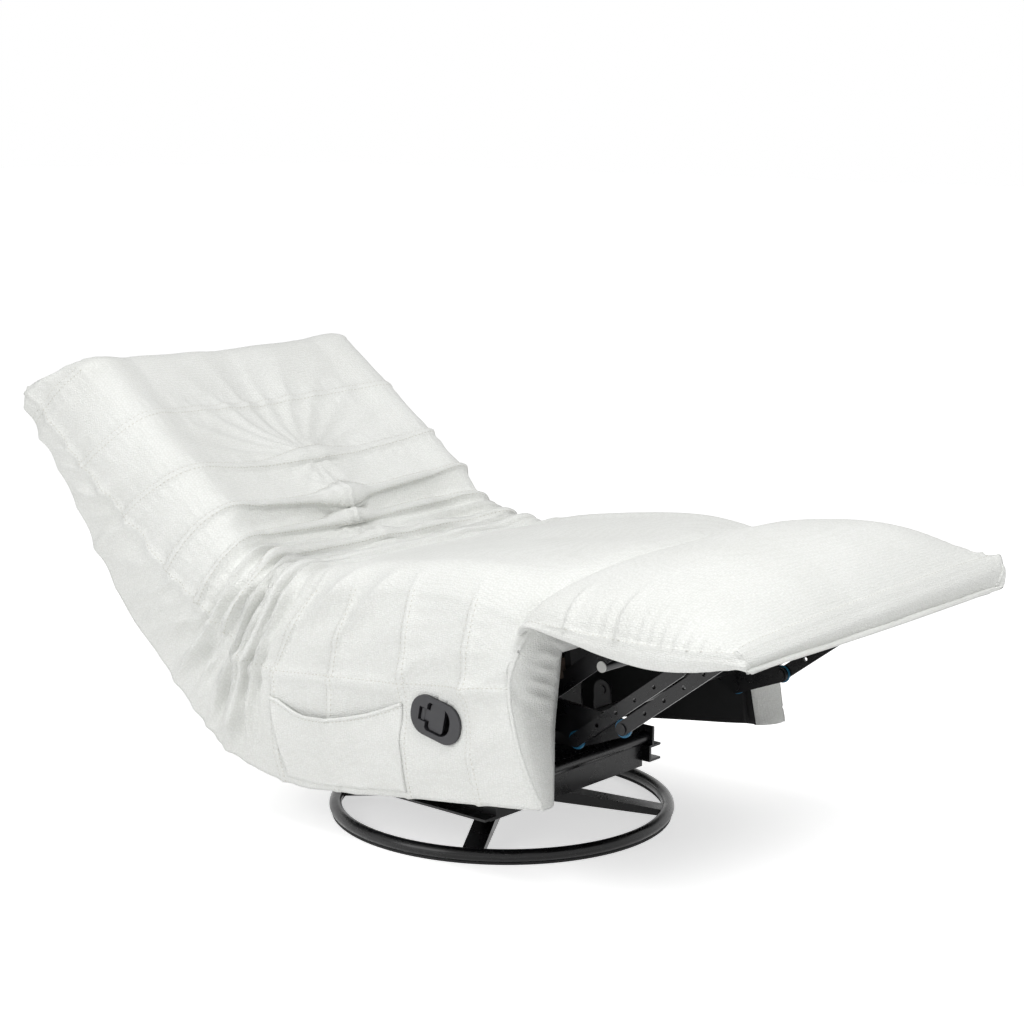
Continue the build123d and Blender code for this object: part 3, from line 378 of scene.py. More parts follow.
# %% [markdown]
# The handle, its housing, the caps and the bushings are moulded plastic, and the floor strip is rubber from
# a mould as well. A mould's walls are etched, so the parts come out with a fine even grain, drawn here as a
# shallow bump. Handling polishes and pales them in places. The eye sees a soft, even shine.

# %% Moulded plastic and rubber
ETCH_MM = 0.526
HANDLED_MM = 33.3
# Relief in metres.
ETCH_DEPTH = 0.0003


def moulded(name, code, worn_code, roughness):
    material, tree, shader, place = new_material(name)
    etch = add_node(tree, "TexNoise", {"Vector": place, "Scale": per_metre(ETCH_MM), "Detail": 1.0})
    patch = add_node(tree, "TexNoise", {"Vector": place, "Scale": per_metre(HANDLED_MM), "Detail": 3.0})
    wear = add_node(tree, "MapRange", {"Value": patch, "From Min": 0.3, "From Max": 0.7, "To Max": 0.4})
    tint = {MIX_SHARE: wear, MIX_A: colour(code), MIX_B: colour(worn_code)}
    relief = add_node(tree, "Bump", {"Height": etch, "Strength": 0.18, "Distance": ETCH_DEPTH})
    fill(tree, shader, {"Base Color": add_node(tree, "Mix", tint, data_type="RGBA").outputs[MIX_OUT],
                        "Roughness": roughness, "IOR": 1.5, "Normal": relief})
    return material


HANDLE_PLASTIC = moulded("black_plastic", "#232326", "#333337", 0.42)
STRIP_RUBBER = moulded("floor_strip_rubber", "#151516", "#222224", 0.8)
CAP_PLASTIC = moulded("pale_cap_plastic", "#C9C9C6", "#B4B4B0", 0.5)
BUSHING_PLASTIC = moulded("bushing_plastic", "#1F5F86", "#2E7F96", 0.45)
CLIP_PLASTIC = moulded("clip_plastic", "#CFCDC4", "#BDBBB2", 0.5)
print("moulded finishes:", HANDLE_PLASTIC.name, STRIP_RUBBER.name, CAP_PLASTIC.name)

# %% [markdown]
# The seat's rails and the back's frame are sawn wood in a dark brown. Real grain is rings cut along their
# length. A noise drawn out level gives such streaks, and the same noise raises them a little, so the eye
# sees dull brown with a rough, running grain.

# %% Sawn wood
# Grain: its length along x and y, and its width along z.
GRAIN_MM = (83.3, 83.3, 5.56)
# Relief in metres.
GRAIN_DEPTH = 0.0008


def sawn_wood(name, dark, light):
    material, tree, shader, place = new_material(name)
    scale = [per_metre(size) for size in GRAIN_MM]
    drawn_out = add_node(tree, "Mapping", {"Vector": place, "Scale": scale})
    rings = add_node(tree, "TexNoise", {"Vector": drawn_out, "Scale": 1.0, "Detail": 6.0, "Roughness": 0.6})
    share = add_node(tree, "MapRange", {"Value": rings, "From Min": 0.35, "From Max": 0.65})
    tint = {MIX_SHARE: share, MIX_A: colour(dark), MIX_B: colour(light)}
    relief = add_node(tree, "Bump", {"Height": rings, "Strength": 0.25, "Distance": GRAIN_DEPTH})
    fill(tree, shader, {"Base Color": add_node(tree, "Mix", tint, data_type="RGBA").outputs[MIX_OUT],
                        "Roughness": 0.75, "IOR": 1.5, "Normal": relief})
    return material


FRAME_WOOD = sawn_wood("frame_wood", "#2B221B", "#43362B")
print("wood finish:", FRAME_WOOD.name)

# %% [markdown]
# The lining under the seat is thin black bonded cloth, pressed together from fibres with small dimples. The
# back's elastic webbing is close to it in look. Neither needs single threads: even Voronoi cells give the
# dimples. The eye sees a flat black that hardly shines.

# %% Lining and webbing
DIMPLE_MM = 2.38
LINING_TONE_MM = 71.4
# Relief in metres.
DIMPLE_DEPTH = 0.0006


def lining_cloth(name, dark, light):
    material, tree, shader, place = new_material(name)
    dimples = {"Vector": place, "Scale": per_metre(DIMPLE_MM), "Randomness": 0.3}
    relief = add_node(tree, "Bump", {"Height": add_node(tree, "TexVoronoi", dimples), "Strength": 0.35,
                                     "Distance": DIMPLE_DEPTH})
    tone = add_node(tree, "TexNoise", {"Vector": place, "Scale": per_metre(LINING_TONE_MM), "Detail": 3.0})
    share = add_node(tree, "MapRange", {"Value": tone, "From Min": 0.3, "From Max": 0.7})
    tint = {MIX_SHARE: share, MIX_A: colour(dark), MIX_B: colour(light)}
    fill(tree, shader, {"Base Color": add_node(tree, "Mix", tint, data_type="RGBA").outputs[MIX_OUT],
                        "Roughness": 0.95, "IOR": 1.5, "Normal": relief})
    return material


LINING = lining_cloth("black_lining", "#0C0C0D", "#191A1B")
WEBBING = lining_cloth("elastic_webbing", "#0C0C0D", "#191A1B")
print("black cloths:", LINING.name, WEBBING.name)

# %% [markdown]
# The frame's record gives each CAD node a slot, which says what it is made of. A list of nodes could be
# kept here too, but the record already has it, so a new node gets its finish without an edit.

# %% Finishes for the CAD nodes
FINISHES = {
    "black_steel": POWDER_COAT,
    "bright_steel": ZINC,
    "black_plastic": HANDLE_PLASTIC,
    "floor_strip": STRIP_RUBBER,
    "pale_cap": CAP_PLASTIC,
    "bushing": BUSHING_PLASTIC,
    "clip_plastic": CLIP_PLASTIC,
    "frame_wood": FRAME_WOOD,
    "black_lining": LINING,
    "webbing": WEBBING,
    "fabric": CHENILLE,
}
for part in frame["record"]["subparts"]:
    node = frame["nodes"][part["node"]]
    node.data.materials.clear()
    node.data.materials.append(FINISHES[part["material_slot"]])

# %% [markdown]
# The cover is sewn from panels, and its seams say where its shape changes. It could be sculpted, or swollen
# from a block, but then no seam would lie where the photograph has it. Instead it is a grid of points. Each
# row is a section across the chair that lies on a seam, from the top of the back to the front of the seat.
# A row gives four points: on the centre line, on the upper edge of the side, on the side's long seam and on
# the side's lower edge. A smooth curve carries them over the cells between rows.

# %% Rows of the cover
# Row: name, cells to the next row, centre, edge, long seam, lower edge (y, z each), half width at the edge,
# extra height off the centre, and how far the underside is hollowed for the frame.
ROWS = (
    ("end", 2, (802, 716), (804, 712), (842, 696), (852, 686), 334, 0, 0.0),
    ("crest", 5, (768, 744), (774, 744), (852, 706), (872, 688), 351, 0, 0.0),
    ("top", 15, (700, 752), (708, 757), (806, 668), (842, 640), 356, 2, 0.0),
    ("seam_1", 14, (610, 662), (572, 672), (693, 576), (746, 532), 356, 12, 0.0),
    ("seam_2", 12, (484, 563), (466, 590), (582, 502), (662, 422), 357, 24, 0.0),
    ("seam_3", 10, (396, 508), (380, 530), (468, 418), (576, 318), 358, 20, 0.0),
    ("seam_4", 10, (376, 468), (326, 472), (388, 372), (504, 262), 360, 14, 0.0),
    ("seam_5", 10, (300, 446), (258, 444), (322, 330), (414, 182), 361, 8, 0.0),
    ("crease", 12, (226, 446), (194, 432), (266, 292), (326, 120), 362, 4, 0.35),
    ("side_1", 14, (136, 466), (116, 444), (200, 281), (194, 88), 362, 6, 1.0),
    ("side_2", 16, (42, 482), (30, 460), (66, 293), (67, 97), 362, 8, 1.0),
    ("side_3", 14, (-95, 506), (-100, 480), (-92, 308), (-96, 121), 362, 8, 1.0),
    ("side_4", 11, (-240, 528), (-232, 480), (-222, 325), (-246, 142), 362, 8, 1.0),
    ("brow", 3, (-352, 541), (-312, 454), (-294, 338), (-340, 154), 360, 6, 1.0),
    ("front", 0, (-398, 530), (-334, 436), (-308, 339), (-366, 157), 352, 2, 1.0),
)


def curve_weights(f):
    """Weights of four evenly spaced values for a smooth curve between the middle two."""
    return (-0.5 * f + f ** 2 - 0.5 * f ** 3, 1 - 2.5 * f ** 2 + 1.5 * f ** 3,
            0.5 * f + 2 * f ** 2 - 1.5 * f ** 3, -0.5 * f ** 2 + 0.5 * f ** 3)


def smooth_between(values, cells):
    """Values at the rows, carried over the cells between them with no kinks."""
    values = np.asarray(values, float)
    padded = np.concatenate([[2 * values[0] - values[1]], values, [2 * values[-1] - values[-2]]])
    out = []
    for i, count in enumerate(cells):
        steps = np.arange(count) / count
        f = steps.reshape((-1,) + (1,) * (values.ndim - 1))
        out.append(sum(w * padded[i + k] for k, w in enumerate(curve_weights(f))))
    out.append(values[-1:])
    return np.concatenate(out)


def row_lines():
    """The rows' facts for every line of cells along the cover."""
    cells = [row[1] for row in ROWS[:-1]]
    names = ("centre", "edge", "seam", "foot")
    lines = {name: smooth_between([row[2 + i] for row in ROWS], cells) for i, name in enumerate(names)}
    for i, name in enumerate(("half", "lift", "hollow")):
        lines[name] = smooth_between([row[6 + i] for row in ROWS], cells)
    lines["hollow"] = np.clip(lines["hollow"], 0, 1)
    lines["at"] = dict(zip([row[0] for row in ROWS], np.cumsum([0] + cells)))
    return lines


cover_lines = row_lines()
print("lines along the cover:", len(cover_lines["half"]))

# %% [markdown]
# One section across the chair runs up the side to its edge, over the padded shoulder and down to the centre
# line. Straight stretches between those points would look like a box, so each one is bowed out.

# %% A section of the outside
# Cells across one side of the cover: lower edge to long seam, to upper edge, to shoulder, to centre.
COLUMN_CELLS = (14, 13, 13, 20)
SIDE_BULGE = 7.0
FOOT_TUCK = 5.0
HOLLOW_TUCK = 10.0
SEAM_STAND = 2.0
EDGE_TUCK = 14.0
EDGE_ROLL = 17.0
SHOULDER_SHARE = 0.66
SHOULDER_LIFT = 4.0
CROWN_LIFT = 3.0


def side_columns():
    """Column numbers of the lower edge, long seam, edge, shoulder and centre on the near side."""
    return np.cumsum((0,) + COLUMN_CELLS)


def section_points(lines, i):
    """Outer points of one section from the near lower edge to the centre: x and (y, z)."""
    centre, edge, seam, foot = (lines[name][i] for name in ("centre", "edge", "seam", "foot"))
    half = lines["half"][i]
    up = (edge - foot) / np.linalg.norm(edge - foot)
    shoulder = centre + (edge - centre) * 0.30 + up * (lines["lift"][i] + SHOULDER_LIFT)
    foot_x = half - FOOT_TUCK - HOLLOW_TUCK * lines["hollow"][i]
    knots_x = np.array([foot_x, half + SEAM_STAND, half - EDGE_TUCK, half * SHOULDER_SHARE, 0.0])
    knots = np.array([foot, seam, edge, shoulder, centre])
    mid_x = np.array([half + SIDE_BULGE, half + SIDE_BULGE, half * 0.87, half * 0.34])
    mid = np.array([(foot + seam) / 2, (seam + edge) / 2, (edge + shoulder) / 2 + up * EDGE_ROLL,
                    shoulder + (centre - shoulder) * 0.55 + up * CROWN_LIFT])
    xs, points = [], []
    for k, count in enumerate(COLUMN_CELLS):
        f = np.arange(count) / count
        bow = 4 * f * (1 - f)
        level = knots_x[k] + (knots_x[k + 1] - knots_x[k]) * f
        xs.append(level + bow * (mid_x[k] - (knots_x[k] + knots_x[k + 1]) / 2))
        line = knots[k] + (knots[k + 1] - knots[k]) * f[:, None]
        points.append(line + bow[:, None] * (mid[k] - (knots[k] + knots[k + 1]) / 2))
    return np.concatenate(xs + [knots_x[-1:]]), np.concatenate(points + [knots[-1:]])


print("points across one side:", len(section_points(cover_lines, 0)[0]))

# %% [markdown]
# A padded piece is closed, so it needs an underside. Behind the back it is a plain rear face. Under the
# seat it is hollow, with walls as thick as the side panels, so that the mechanism has room. One formula
# does both, with a share that says how hollow each line is.

# %% The underside
REAR_INSET = 34.0
REAR_BULGE = 14.0
PANEL_T = 66.0
FRONT_PANEL_T = (68.0, 84.0, 114.0)
FRONT_SETBACK = 22.0
INNER_X = 288.0
HOLLOW_DEPTH = 226.0


def smooth_step(value, low, high):
    """0 up to low, 1 from high on, and smooth between them."""
    f = np.clip((value - low) / (high - low), 0, 1)
    return f * f * (3 - 2 * f)


def inner_points(lines, i, count):
    """Points under one section, as many as above it: the back's rear face, or the seat's hollow."""
    edge, foot = lines["edge"][i], lines["foot"][i]
    half, hollow = lines["half"][i], lines["hollow"][i]
    up = (edge - foot) / np.linalg.norm(edge - foot)
    columns = side_columns()
    rear_x = (half - REAR_INSET) * (1 - np.arange(count) / (count - 1))
    plain = np.array([half - PANEL_T, INNER_X, INNER_X - 6, INNER_X * 0.6, 0.0])
    thick = np.append(half - np.array(FRONT_PANEL_T), [INNER_X * 0.6, 0.0])
    fore = smooth_step(i, lines["at"]["side_4"], lines["at"]["front"])
    wall_x = np.interp(np.arange(count), columns, plain + (thick - plain) * fore)
    tall = np.interp(np.arange(count), columns, [0.0, 0.5, 1.0, 1.0, 1.0]) * HOLLOW_DEPTH * hollow
    xs = rear_x * (1 - hollow) + wall_x * hollow
    bulge = -REAR_BULGE * (1 - hollow) * np.sin(np.arange(count) / (count - 1) * math.pi / 2)
    return xs, foot + up * (tall + bulge)[:, None] + np.array([FRONT_SETBACK * fore, 0.0])


print("hollow lines:", int((cover_lines["hollow"] > 0.5).sum()))

# %% [markdown]
# The edges of real upholstery are rolls, not corners. A Bevel modifier would round them all alike. Here the
# points near the upper edge of each side are moved towards the middle of their neighbours, again and again,
# which rounds the section without touching the rest.

# %% Rolled edges
def valley(apart, width):
    """1 where apart is 0, falling smoothly to nothing past width on both sides."""
    return np.exp(-(apart / width) ** 2)


def soften_edge(grid, passes=24):
    """Rolls the section over the upper edge of each side."""
    marks = side_columns()
    last = grid.shape[1] - 1
    column = np.minimum(np.arange(last + 1), last - np.arange(last + 1))
    share = valley(column - marks[2] - 1, 6.0)[None, 1:-1, None]
    for _ in range(passes):
        middle = (grid[:, :-2] + grid[:, 2:]) / 2
        grid[:, 1:-1] += share * (middle - grid[:, 1:-1])
    return grid


print("upper edge at column:", side_columns()[2])

# %% [markdown]
# Both grids are now put together. Only the near side is worked out, and the far side is its mirror image.
# A few more rows carry the cover round the front of the seat to the inside, so that the front of each side
# panel is a rounded face.

# %% The cover's grids
FRONT_FACE_CELLS = 5
FRONT_FACE_BULGE = 9.0


def both_sides(near):
    """A grid of the near side and the centre line, with its mirror image added."""
    far = near[:, -2::-1] * np.array([-1.0, 1.0, 1.0])
    return np.concatenate([near, far], axis=1)


def front_face(outer_row, inner_row):
    """Rows that carry the cover round the front of the seat and its side panels to the inside."""
    rows = []
    for k in range(1, FRONT_FACE_CELLS + 1):
        f = k / (FRONT_FACE_CELLS + 1)
        row = outer_row + (inner_row - outer_row) * f
        row[:, 1] -= FRONT_FACE_BULGE * 4 * f * (1 - f)
        rows.append(row)
    return np.array(rows)


def cover_grids(lines):
    """Outer and inner point grids of the cover, lines by columns by xyz, near side first."""
    outer, inner = [], []
    for i in range(len(lines["half"])):
        xs, points = section_points(lines, i)
        outer.append(np.column_stack([-xs, points]))
        xs, points = inner_points(lines, i, len(xs))
        inner.append(np.column_stack([-xs, points]))
    outer, inner = soften_edge(both_sides(np.array(outer))), both_sides(np.array(inner))
    face = front_face(outer[-1], inner[-1])
    inner = np.concatenate([inner, np.repeat(inner[-1:], len(face), axis=0)])
    return np.concatenate([outer, face]), inner


cover_outer, cover_inner = cover_grids(cover_lines)
print("cover grid:", cover_outer.shape[:2])

# %% [markdown]
# Stuffing fills a panel most in its middle and least at its seams. The same is done to the grid: each point
# moves out along its normal by a share that is 0 on the seams. The back is stuffed more than the seat, and
# its lower rolls most of all.

# %% Stuffing between the seams
BACK_SEAMS = ("top", "seam_1", "seam_2", "seam_3", "seam_4", "seam_5")
SIDE_SEAMS = ("side_1", "side_2", "side_3", "side_4")
CROSS_SEAMS = BACK_SEAMS + ("crease",) + SIDE_SEAMS + ("front",)
BACK_RISES = {"top": 2.0, "seam_1": 5.0, "seam_2": 8.0, "seam_3": 12.0, "crease": 13.0}
SEAT_RISE = 7.0
FLANK_RISE = 5.0
SEAT_FLANK_RISE = 4.0


def cell_numbers(grid, step=1):
    """Line numbers down a grid and, across it, column numbers from the nearer side's lower edge."""
    rows, columns = grid.shape[:2]
    column = np.arange(columns) / step
    return np.arange(rows)[:, None] / step, np.minimum(column, column[-1] - column)[None, :]


def grid_normals(grid):
    along = np.gradient(grid, axis=0)
    across = np.gradient(grid, axis=1)
    normal = np.cross(across, along)
    return normal / np.maximum(np.linalg.norm(normal, axis=2, keepdims=True), 1e-9)


def panel_share(index, stops):
    """0 on the seams and 1 half way between them."""
    stops = np.asarray(stops)
    place = np.searchsorted(stops, index, side="right").clip(1, len(stops) - 1)
    f = (index - stops[place - 1]) / (stops[place] - stops[place - 1])
    return np.sqrt(np.clip(4 * f * (1 - f), 0, 1))


def stuffing(grid, lines):
    """How far the filling pushes each point out between the seams."""
    line, column = cell_numbers(grid)
    at, marks = lines["at"], side_columns()
    stops = [0] + [at[name] for name in CROSS_SEAMS[1:]] + [len(grid)]
    rise = np.interp(line, [at[name] for name in BACK_RISES], list(BACK_RISES.values()))
    along = panel_share(line, stops)
    side = panel_share(column, [0, marks[1], marks[2], 2 * marks[-1]])
    seat = smooth_step(line, at["seam_5"], at["side_2"])
    across = smooth_step(column, marks[2] - 2, marks[3])
    even = along + (1 - along) * seat * smooth_step(column, marks[2], marks[2] + 7)
    even = even + 0.8 * (1 - even) * valley(column - marks[2], 4.0)
    top = (rise * (1 - seat) + SEAT_RISE * seat) * even * (0.3 + 0.7 * across)
    flank = (FLANK_RISE + SEAT_FLANK_RISE * seat) * (0.35 + 0.65 * along) * side
    return np.where(column < marks[2], flank, top) * (line <= at["front"])


cover_push = stuffing(cover_outer, cover_lines)
cover_stuffed = cover_outer + grid_normals(cover_outer) * cover_push[..., None]
print(f"largest push of the stuffing: {cover_push.max():.1f} mm")

# %% [markdown]
# A cover is a closed skin: an outer grid, a plainer inner grid, and strips of faces that join their edges.
# Blender could bridge the two grids in edit mode, but the numbers of the points are known here, so the
# faces can be listed straight away.

# %% Closed skins
def quads(a, b, c, d):
    return np.stack([a.ravel(), b.ravel(), c.ravel(), d.ravel()], axis=1).tolist()


def rim(outer_numbers, inner_numbers):
    """Faces between an edge of the outer grid and the plainer edge of the inner grid."""
    step = (len(outer_numbers) - 1) // (len(inner_numbers) - 1)
    faces = []
    for i in range(len(inner_numbers) - 1):
        fine = outer_numbers[i * step:(i + 1) * step + 1]
        faces.append([*fine.tolist(), int(inner_numbers[i + 1]), int(inner_numbers[i])])
    return faces


def closed_skin(outer, inner):
    """Points in metres, outer faces and inner faces of a closed skin over two grids."""
    rows, columns = outer.shape[:2]
    points = np.concatenate([outer.reshape(-1, 3), inner.reshape(-1, 3)]) * MM
    number = np.arange(rows * columns).reshape(rows, columns)
    below = np.arange(inner.shape[0] * inner.shape[1]).reshape(inner.shape[:2]) + rows * columns
    faces = quads(number[:-1, :-1], number[:-1, 1:], number[1:, 1:], number[1:, :-1])
    for edge in ((slice(None), 0), (slice(None), -1), (0, slice(None)), (-1, slice(None))):
        faces += rim(number[edge], below[edge])
    return points, faces, quads(below[:-1, :-1], below[1:, :-1], below[1:, 1:], below[:-1, 1:])


def turn_out(mesh, merge):
    """Turns every face outward, after doubled points are dropped where merge is true."""
    tidy = bmesh.new()
    tidy.from_mesh(mesh)
    if merge:
        bmesh.ops.remove_doubles(tidy, verts=tidy.verts, dist=1e-6)
    bmesh.ops.recalc_face_normals(tidy, faces=tidy.faces)
    tidy.to_mesh(mesh)
    tidy.free()


print("points of the cover's skin:", len(closed_skin(cover_stuffed, cover_inner)[0]))

# %% [markdown]
# Stuffed cloth swells like a balloon between the lines where it is sewn down. Formulas alone look too even,
# so Blender's cloth simulation blows the skin up with pressure. A vertex group holds the seams, a little
# slack lets panels wrinkle, and gravity is off because the filling holds the cloth up. Only the result is
# kept, and no point may settle further off than a cap.

# %% Swelling as cloth
SWELL_FRAMES = 20
SWELL_PRESSURE = 4.0


def points_of(mesh):
    flat = np.empty(len(mesh.vertices) * 3)
    mesh.vertices.foreach_get("co", flat)
    return flat.reshape(-1, 3)


def add_cloth(thing, held, slack):
    """A cloth modifier under pressure, pinned by how much each point is held."""
    group = thing.vertex_groups.new(name="held")
    for number, weight in enumerate(held):
        group.add([number], float(weight), "REPLACE")
    cloth = thing.modifiers.new("swell", "CLOTH")
    rules = cloth.settings
    rules.quality = 4
    rules.mass = 0.35
    rules.tension_stiffness = 18
    rules.compression_stiffness = 9
    rules.shear_stiffness = 6
    rules.bending_stiffness = 0.6
    rules.use_pressure = True
    rules.uniform_pressure_force = SWELL_PRESSURE
    rules.shrink_min = -slack
    rules.vertex_group_mass = "held"
    rules.pin_stiffness = 1.0
    rules.effector_weights.gravity = 0
    cloth.collision_settings.use_collision = False
    cloth.point_cache.frame_end = SWELL_FRAMES


def settle(thing, cap):
    """Runs the cloth and gives where its points settle, within cap metres of where they were."""
    before = points_of(thing.data)
    for number in range(1, SWELL_FRAMES + 1):
        scene.frame_set(number)
    after = points_of(thing.evaluated_get(bpy.context.evaluated_depsgraph_get()).data)
    scene.frame_set(1)
    move = after - before
    length = np.linalg.norm(move, axis=1, keepdims=True)
    return before + move * np.minimum(1.0, cap / np.maximum(length, 1e-9))


def swell(outer, inner, held, cap, slack):
    """The outer grid after its skin has been blown up as cloth, held where held is 1."""
    points, faces, lining = closed_skin(outer, inner)
    mesh = bpy.data.meshes.new("swelling")
    mesh.from_pydata(points.tolist(), [], faces + lining)
    made = bpy.data.objects.new("swelling", mesh)
    scene.collection.objects.link(made)
    turn_out(mesh, merge=False)
    framed = np.ones(len(points) - held.size)
    add_cloth(made, np.concatenate([held.ravel(), framed]), slack)
    settled = settle(made, cap)
    bpy.data.objects.remove(made)
    return settled[:held.size].reshape(outer.shape) / MM


print("cloth frames:", SWELL_FRAMES)

# %% [markdown]
# The cover is swollen, held at its seams, at its lower edges and where the frame backs it. Its edges along
# the back then bulge a little at every panel, more than on the real chair, so they are drawn even. After
# that the grid gets twice as many cells each way, because folds need finer cells than the cloth did.

# %% Swell the cover
FINE = 2
# Furthest a point may settle, in metres, and the slack as a share of the cloth's length.
SWELL_CAP = 0.022
BODY_SLACK = 0.012


def body_held(grid, lines):
    """1 where the cover is sewn down or framed, 0 where its filling can push."""
    line, column = cell_numbers(grid)
    marks = side_columns()
    held = np.isin(line, [lines["at"][name] for name in CROSS_SEAMS])
    held = held | (line > lines["at"]["brow"]) | (line < 3)
    sides = np.isin(column, [0, 1, marks[1]])
    return (held | sides).astype(float)


def even_edges(grid, lines, passes=13):
    """Draws the back's long edges even along the chair, so that they bulge little between the seams."""
    line, column = cell_numbers(grid)
    at, marks = lines["at"], side_columns()
    on_back = smooth_step(line, at["top"], at["top"] + 6)
    on_back = on_back * (1 - smooth_step(line, at["seam_5"] - 6, at["seam_5"]))
    share = (0.5 * on_back * valley(column - marks[2] - 3, 7.0))[1:-1, :, None]
    for _ in range(passes):
        middle = (grid[:-2] + grid[2:]) / 2
        grid[1:-1] += share * (middle - grid[1:-1])
    return grid


def refine(grid):
    """The grid with FINE times as many cells each way."""
    grid = smooth_between(grid, [FINE] * (grid.shape[0] - 1))
    across = smooth_between(grid.swapaxes(0, 1), [FINE] * (grid.shape[1] - 1))
    return across.swapaxes(0, 1)


held_cells = body_held(cover_stuffed, cover_lines)
cover_swollen = swell(cover_stuffed, cover_inner, held_cells, SWELL_CAP, BODY_SLACK)
print(f"largest swelling: {np.abs(cover_swollen - cover_stuffed).max():.1f} mm")
cover_fine = refine(even_edges(cover_swollen, cover_lines))
print("fine grid:", cover_fine.shape[:2])

# %% [markdown]
# A seam pulls the cloth down into a groove, and sewing leaves short puckers beside it. They could be a bump
# in the material, but a groove shows at the outline too, so it belongs in the mesh. From here on each
# function gives how far the points of the fine grid move along their normals.

# %% Seams and puckers
SEAM_DEPTHS = {"seam_2": 6.5, "seam_3": 9.0, "seam_4": 10.0, "seam_5": 10.0}
SEAM_DEPTH = 4.0
LONG_SEAM_DEPTH = 5.0
PUCKER = 1.3


def seam_fade(name, column):
    """How strongly a cross seam shows at each column: back seams above, side seams on the sides."""
    marks = side_columns()
    if name in SIDE_SEAMS:
        return 1 - smooth_step(column, marks[2] - 3, marks[2] + 6)
    fade = smooth_step(column, marks[1] - 0.5, marks[1] + 1)
    if name == "top":
        fade = fade * (1 - smooth_step(column, marks[2], marks[3]))
    return fade


def seam_grooves(grid, lines):
    """Grooves along the seams, with the short puckers that sewing leaves beside them."""
    line, column = cell_numbers(grid, FINE)
    at, marks = lines["at"], side_columns()
    pull = np.zeros(grid.shape[:2])
    for name in BACK_SEAMS + SIDE_SEAMS:
        fade = seam_fade(name, column)
        apart = line - at[name]
        pucker = np.sin(column * 1.9 + at[name]) * np.sin(column * 0.83 + 1.0)
        pull -= fade * SEAM_DEPTHS.get(name, SEAM_DEPTH) * valley(apart, 0.8)
        pull += fade * PUCKER * pucker * valley(np.abs(apart) - 2.2, 1.6)
    apart = column - marks[1]
    on_body = line < at["front"] + 0.5
    pucker = np.sin(line * 1.7) * np.sin(line * 0.71 + 0.5)
    beside = PUCKER * pucker * valley(np.abs(apart) - 2.4, 1.7)
    pull -= on_body * (LONG_SEAM_DEPTH * valley(apart, 0.9) - beside)
    return pull


seam_push = seam_grooves(cover_fine, cover_lines)
print(f"deepest seam: {-seam_push.min():.1f} mm")

# %% [markdown]
# Tufts are points on the centre line of the back where the cover is tied down through the stuffing. Each
# one is a round dip, with creases that run out from it like spokes. Above the uppermost one the cloth fans
# out in longer folds. A bearing round the tuft gives the spokes, and the distance from it lets them fade.

# %% Tufts
# Tuft: depth and reach.
TUFTS = {"seam_2": (30.0, 80.0), "seam_3": (16.0, 48.0), "seam_4": (13.0, 42.0), "seam_5": (14.0, 48.0)}
TUFT_CREASE = 1.7
TUFT_CREASES = 11
TUFT_CREASE_REACH = 45.0
# The fan of folds above the uppermost tuft.
RAY_RISE = 6.0
RAYS = 11.5
RAY_MIDDLE = 140.0
RAY_SPREAD = 120.0


def tuft_pull(grid, lines):
    """Pull of the tufts on the centre line, with creases running out from them."""
    pull = np.zeros(grid.shape[:2])
    middle = grid.shape[1] // 2
    for name, (depth, spread) in TUFTS.items():
        apart = grid - grid[lines["at"][name] * FINE, middle]
        reach = np.linalg.norm(apart, axis=2)
        bearing = np.arctan2(apart[..., 2] * 0.7 + apart[..., 1] * 0.7, apart[..., 0])
        crease = np.cos(bearing * TUFT_CREASES + 1.3 * np.sin(bearing * 3))
        crease = crease * valley(reach - TUFT_CREASE_REACH, TUFT_CREASE_REACH)
        crease = crease * smooth_step(reach, 10, 40)
        pull += TUFT_CREASE * crease - depth * valley(reach, spread)
        if name == "seam_2":
            above = smooth_step(apart[..., 1] + apart[..., 2], 0, 60)
            rays = np.abs(np.cos(bearing * RAYS + 1.0 * np.sin(bearing * 2))) - 0.6
            pull += RAY_RISE * rays * above * valley(reach - RAY_MIDDLE, RAY_SPREAD)
    return pull


tuft_push = tuft_pull(cover_fine, cover_lines)
print(f"deepest tuft: {-tuft_push.min():.1f} mm")

# %% [markdown]
# Where the back meets the seat, the cloth is bunched into tight folds that are deepest on the sides. A
# simulation would bunch it differently each time a size changes. The folds are drawn instead as a wave with
# round tops and sharp valleys, and a slow waver keeps them from running parallel. A few deep folds are
# placed one by one beside the seams.

# %% Gathers at the crease
FOLD_LINES = 3.7
TIGHT_FOLD = 13.0
LOOSE_FOLD = 5.0
CREASE_DEPTH = 21.0
# Fold: the row it runs beside, cells past that row, and its depth.
FOLDS = (("seam_4", 5.2, 12.0), ("seam_5", 4.0, 16.0), ("seam_5", 7.0, 14.0), ("crease", 3.6, 11.0))


def fold_height(phase):
    """Rounded folds with sharp valleys between them."""
    return np.abs(np.sin(math.pi * phase)) - 0.62


def fold_shape(apart):
    """One deep fold across the lines of a grid, with the swollen cloth beside it."""
    return 0.55 * valley(np.abs(apart) - 2.0, 1.2) - 1.2 * valley(apart, 0.65)


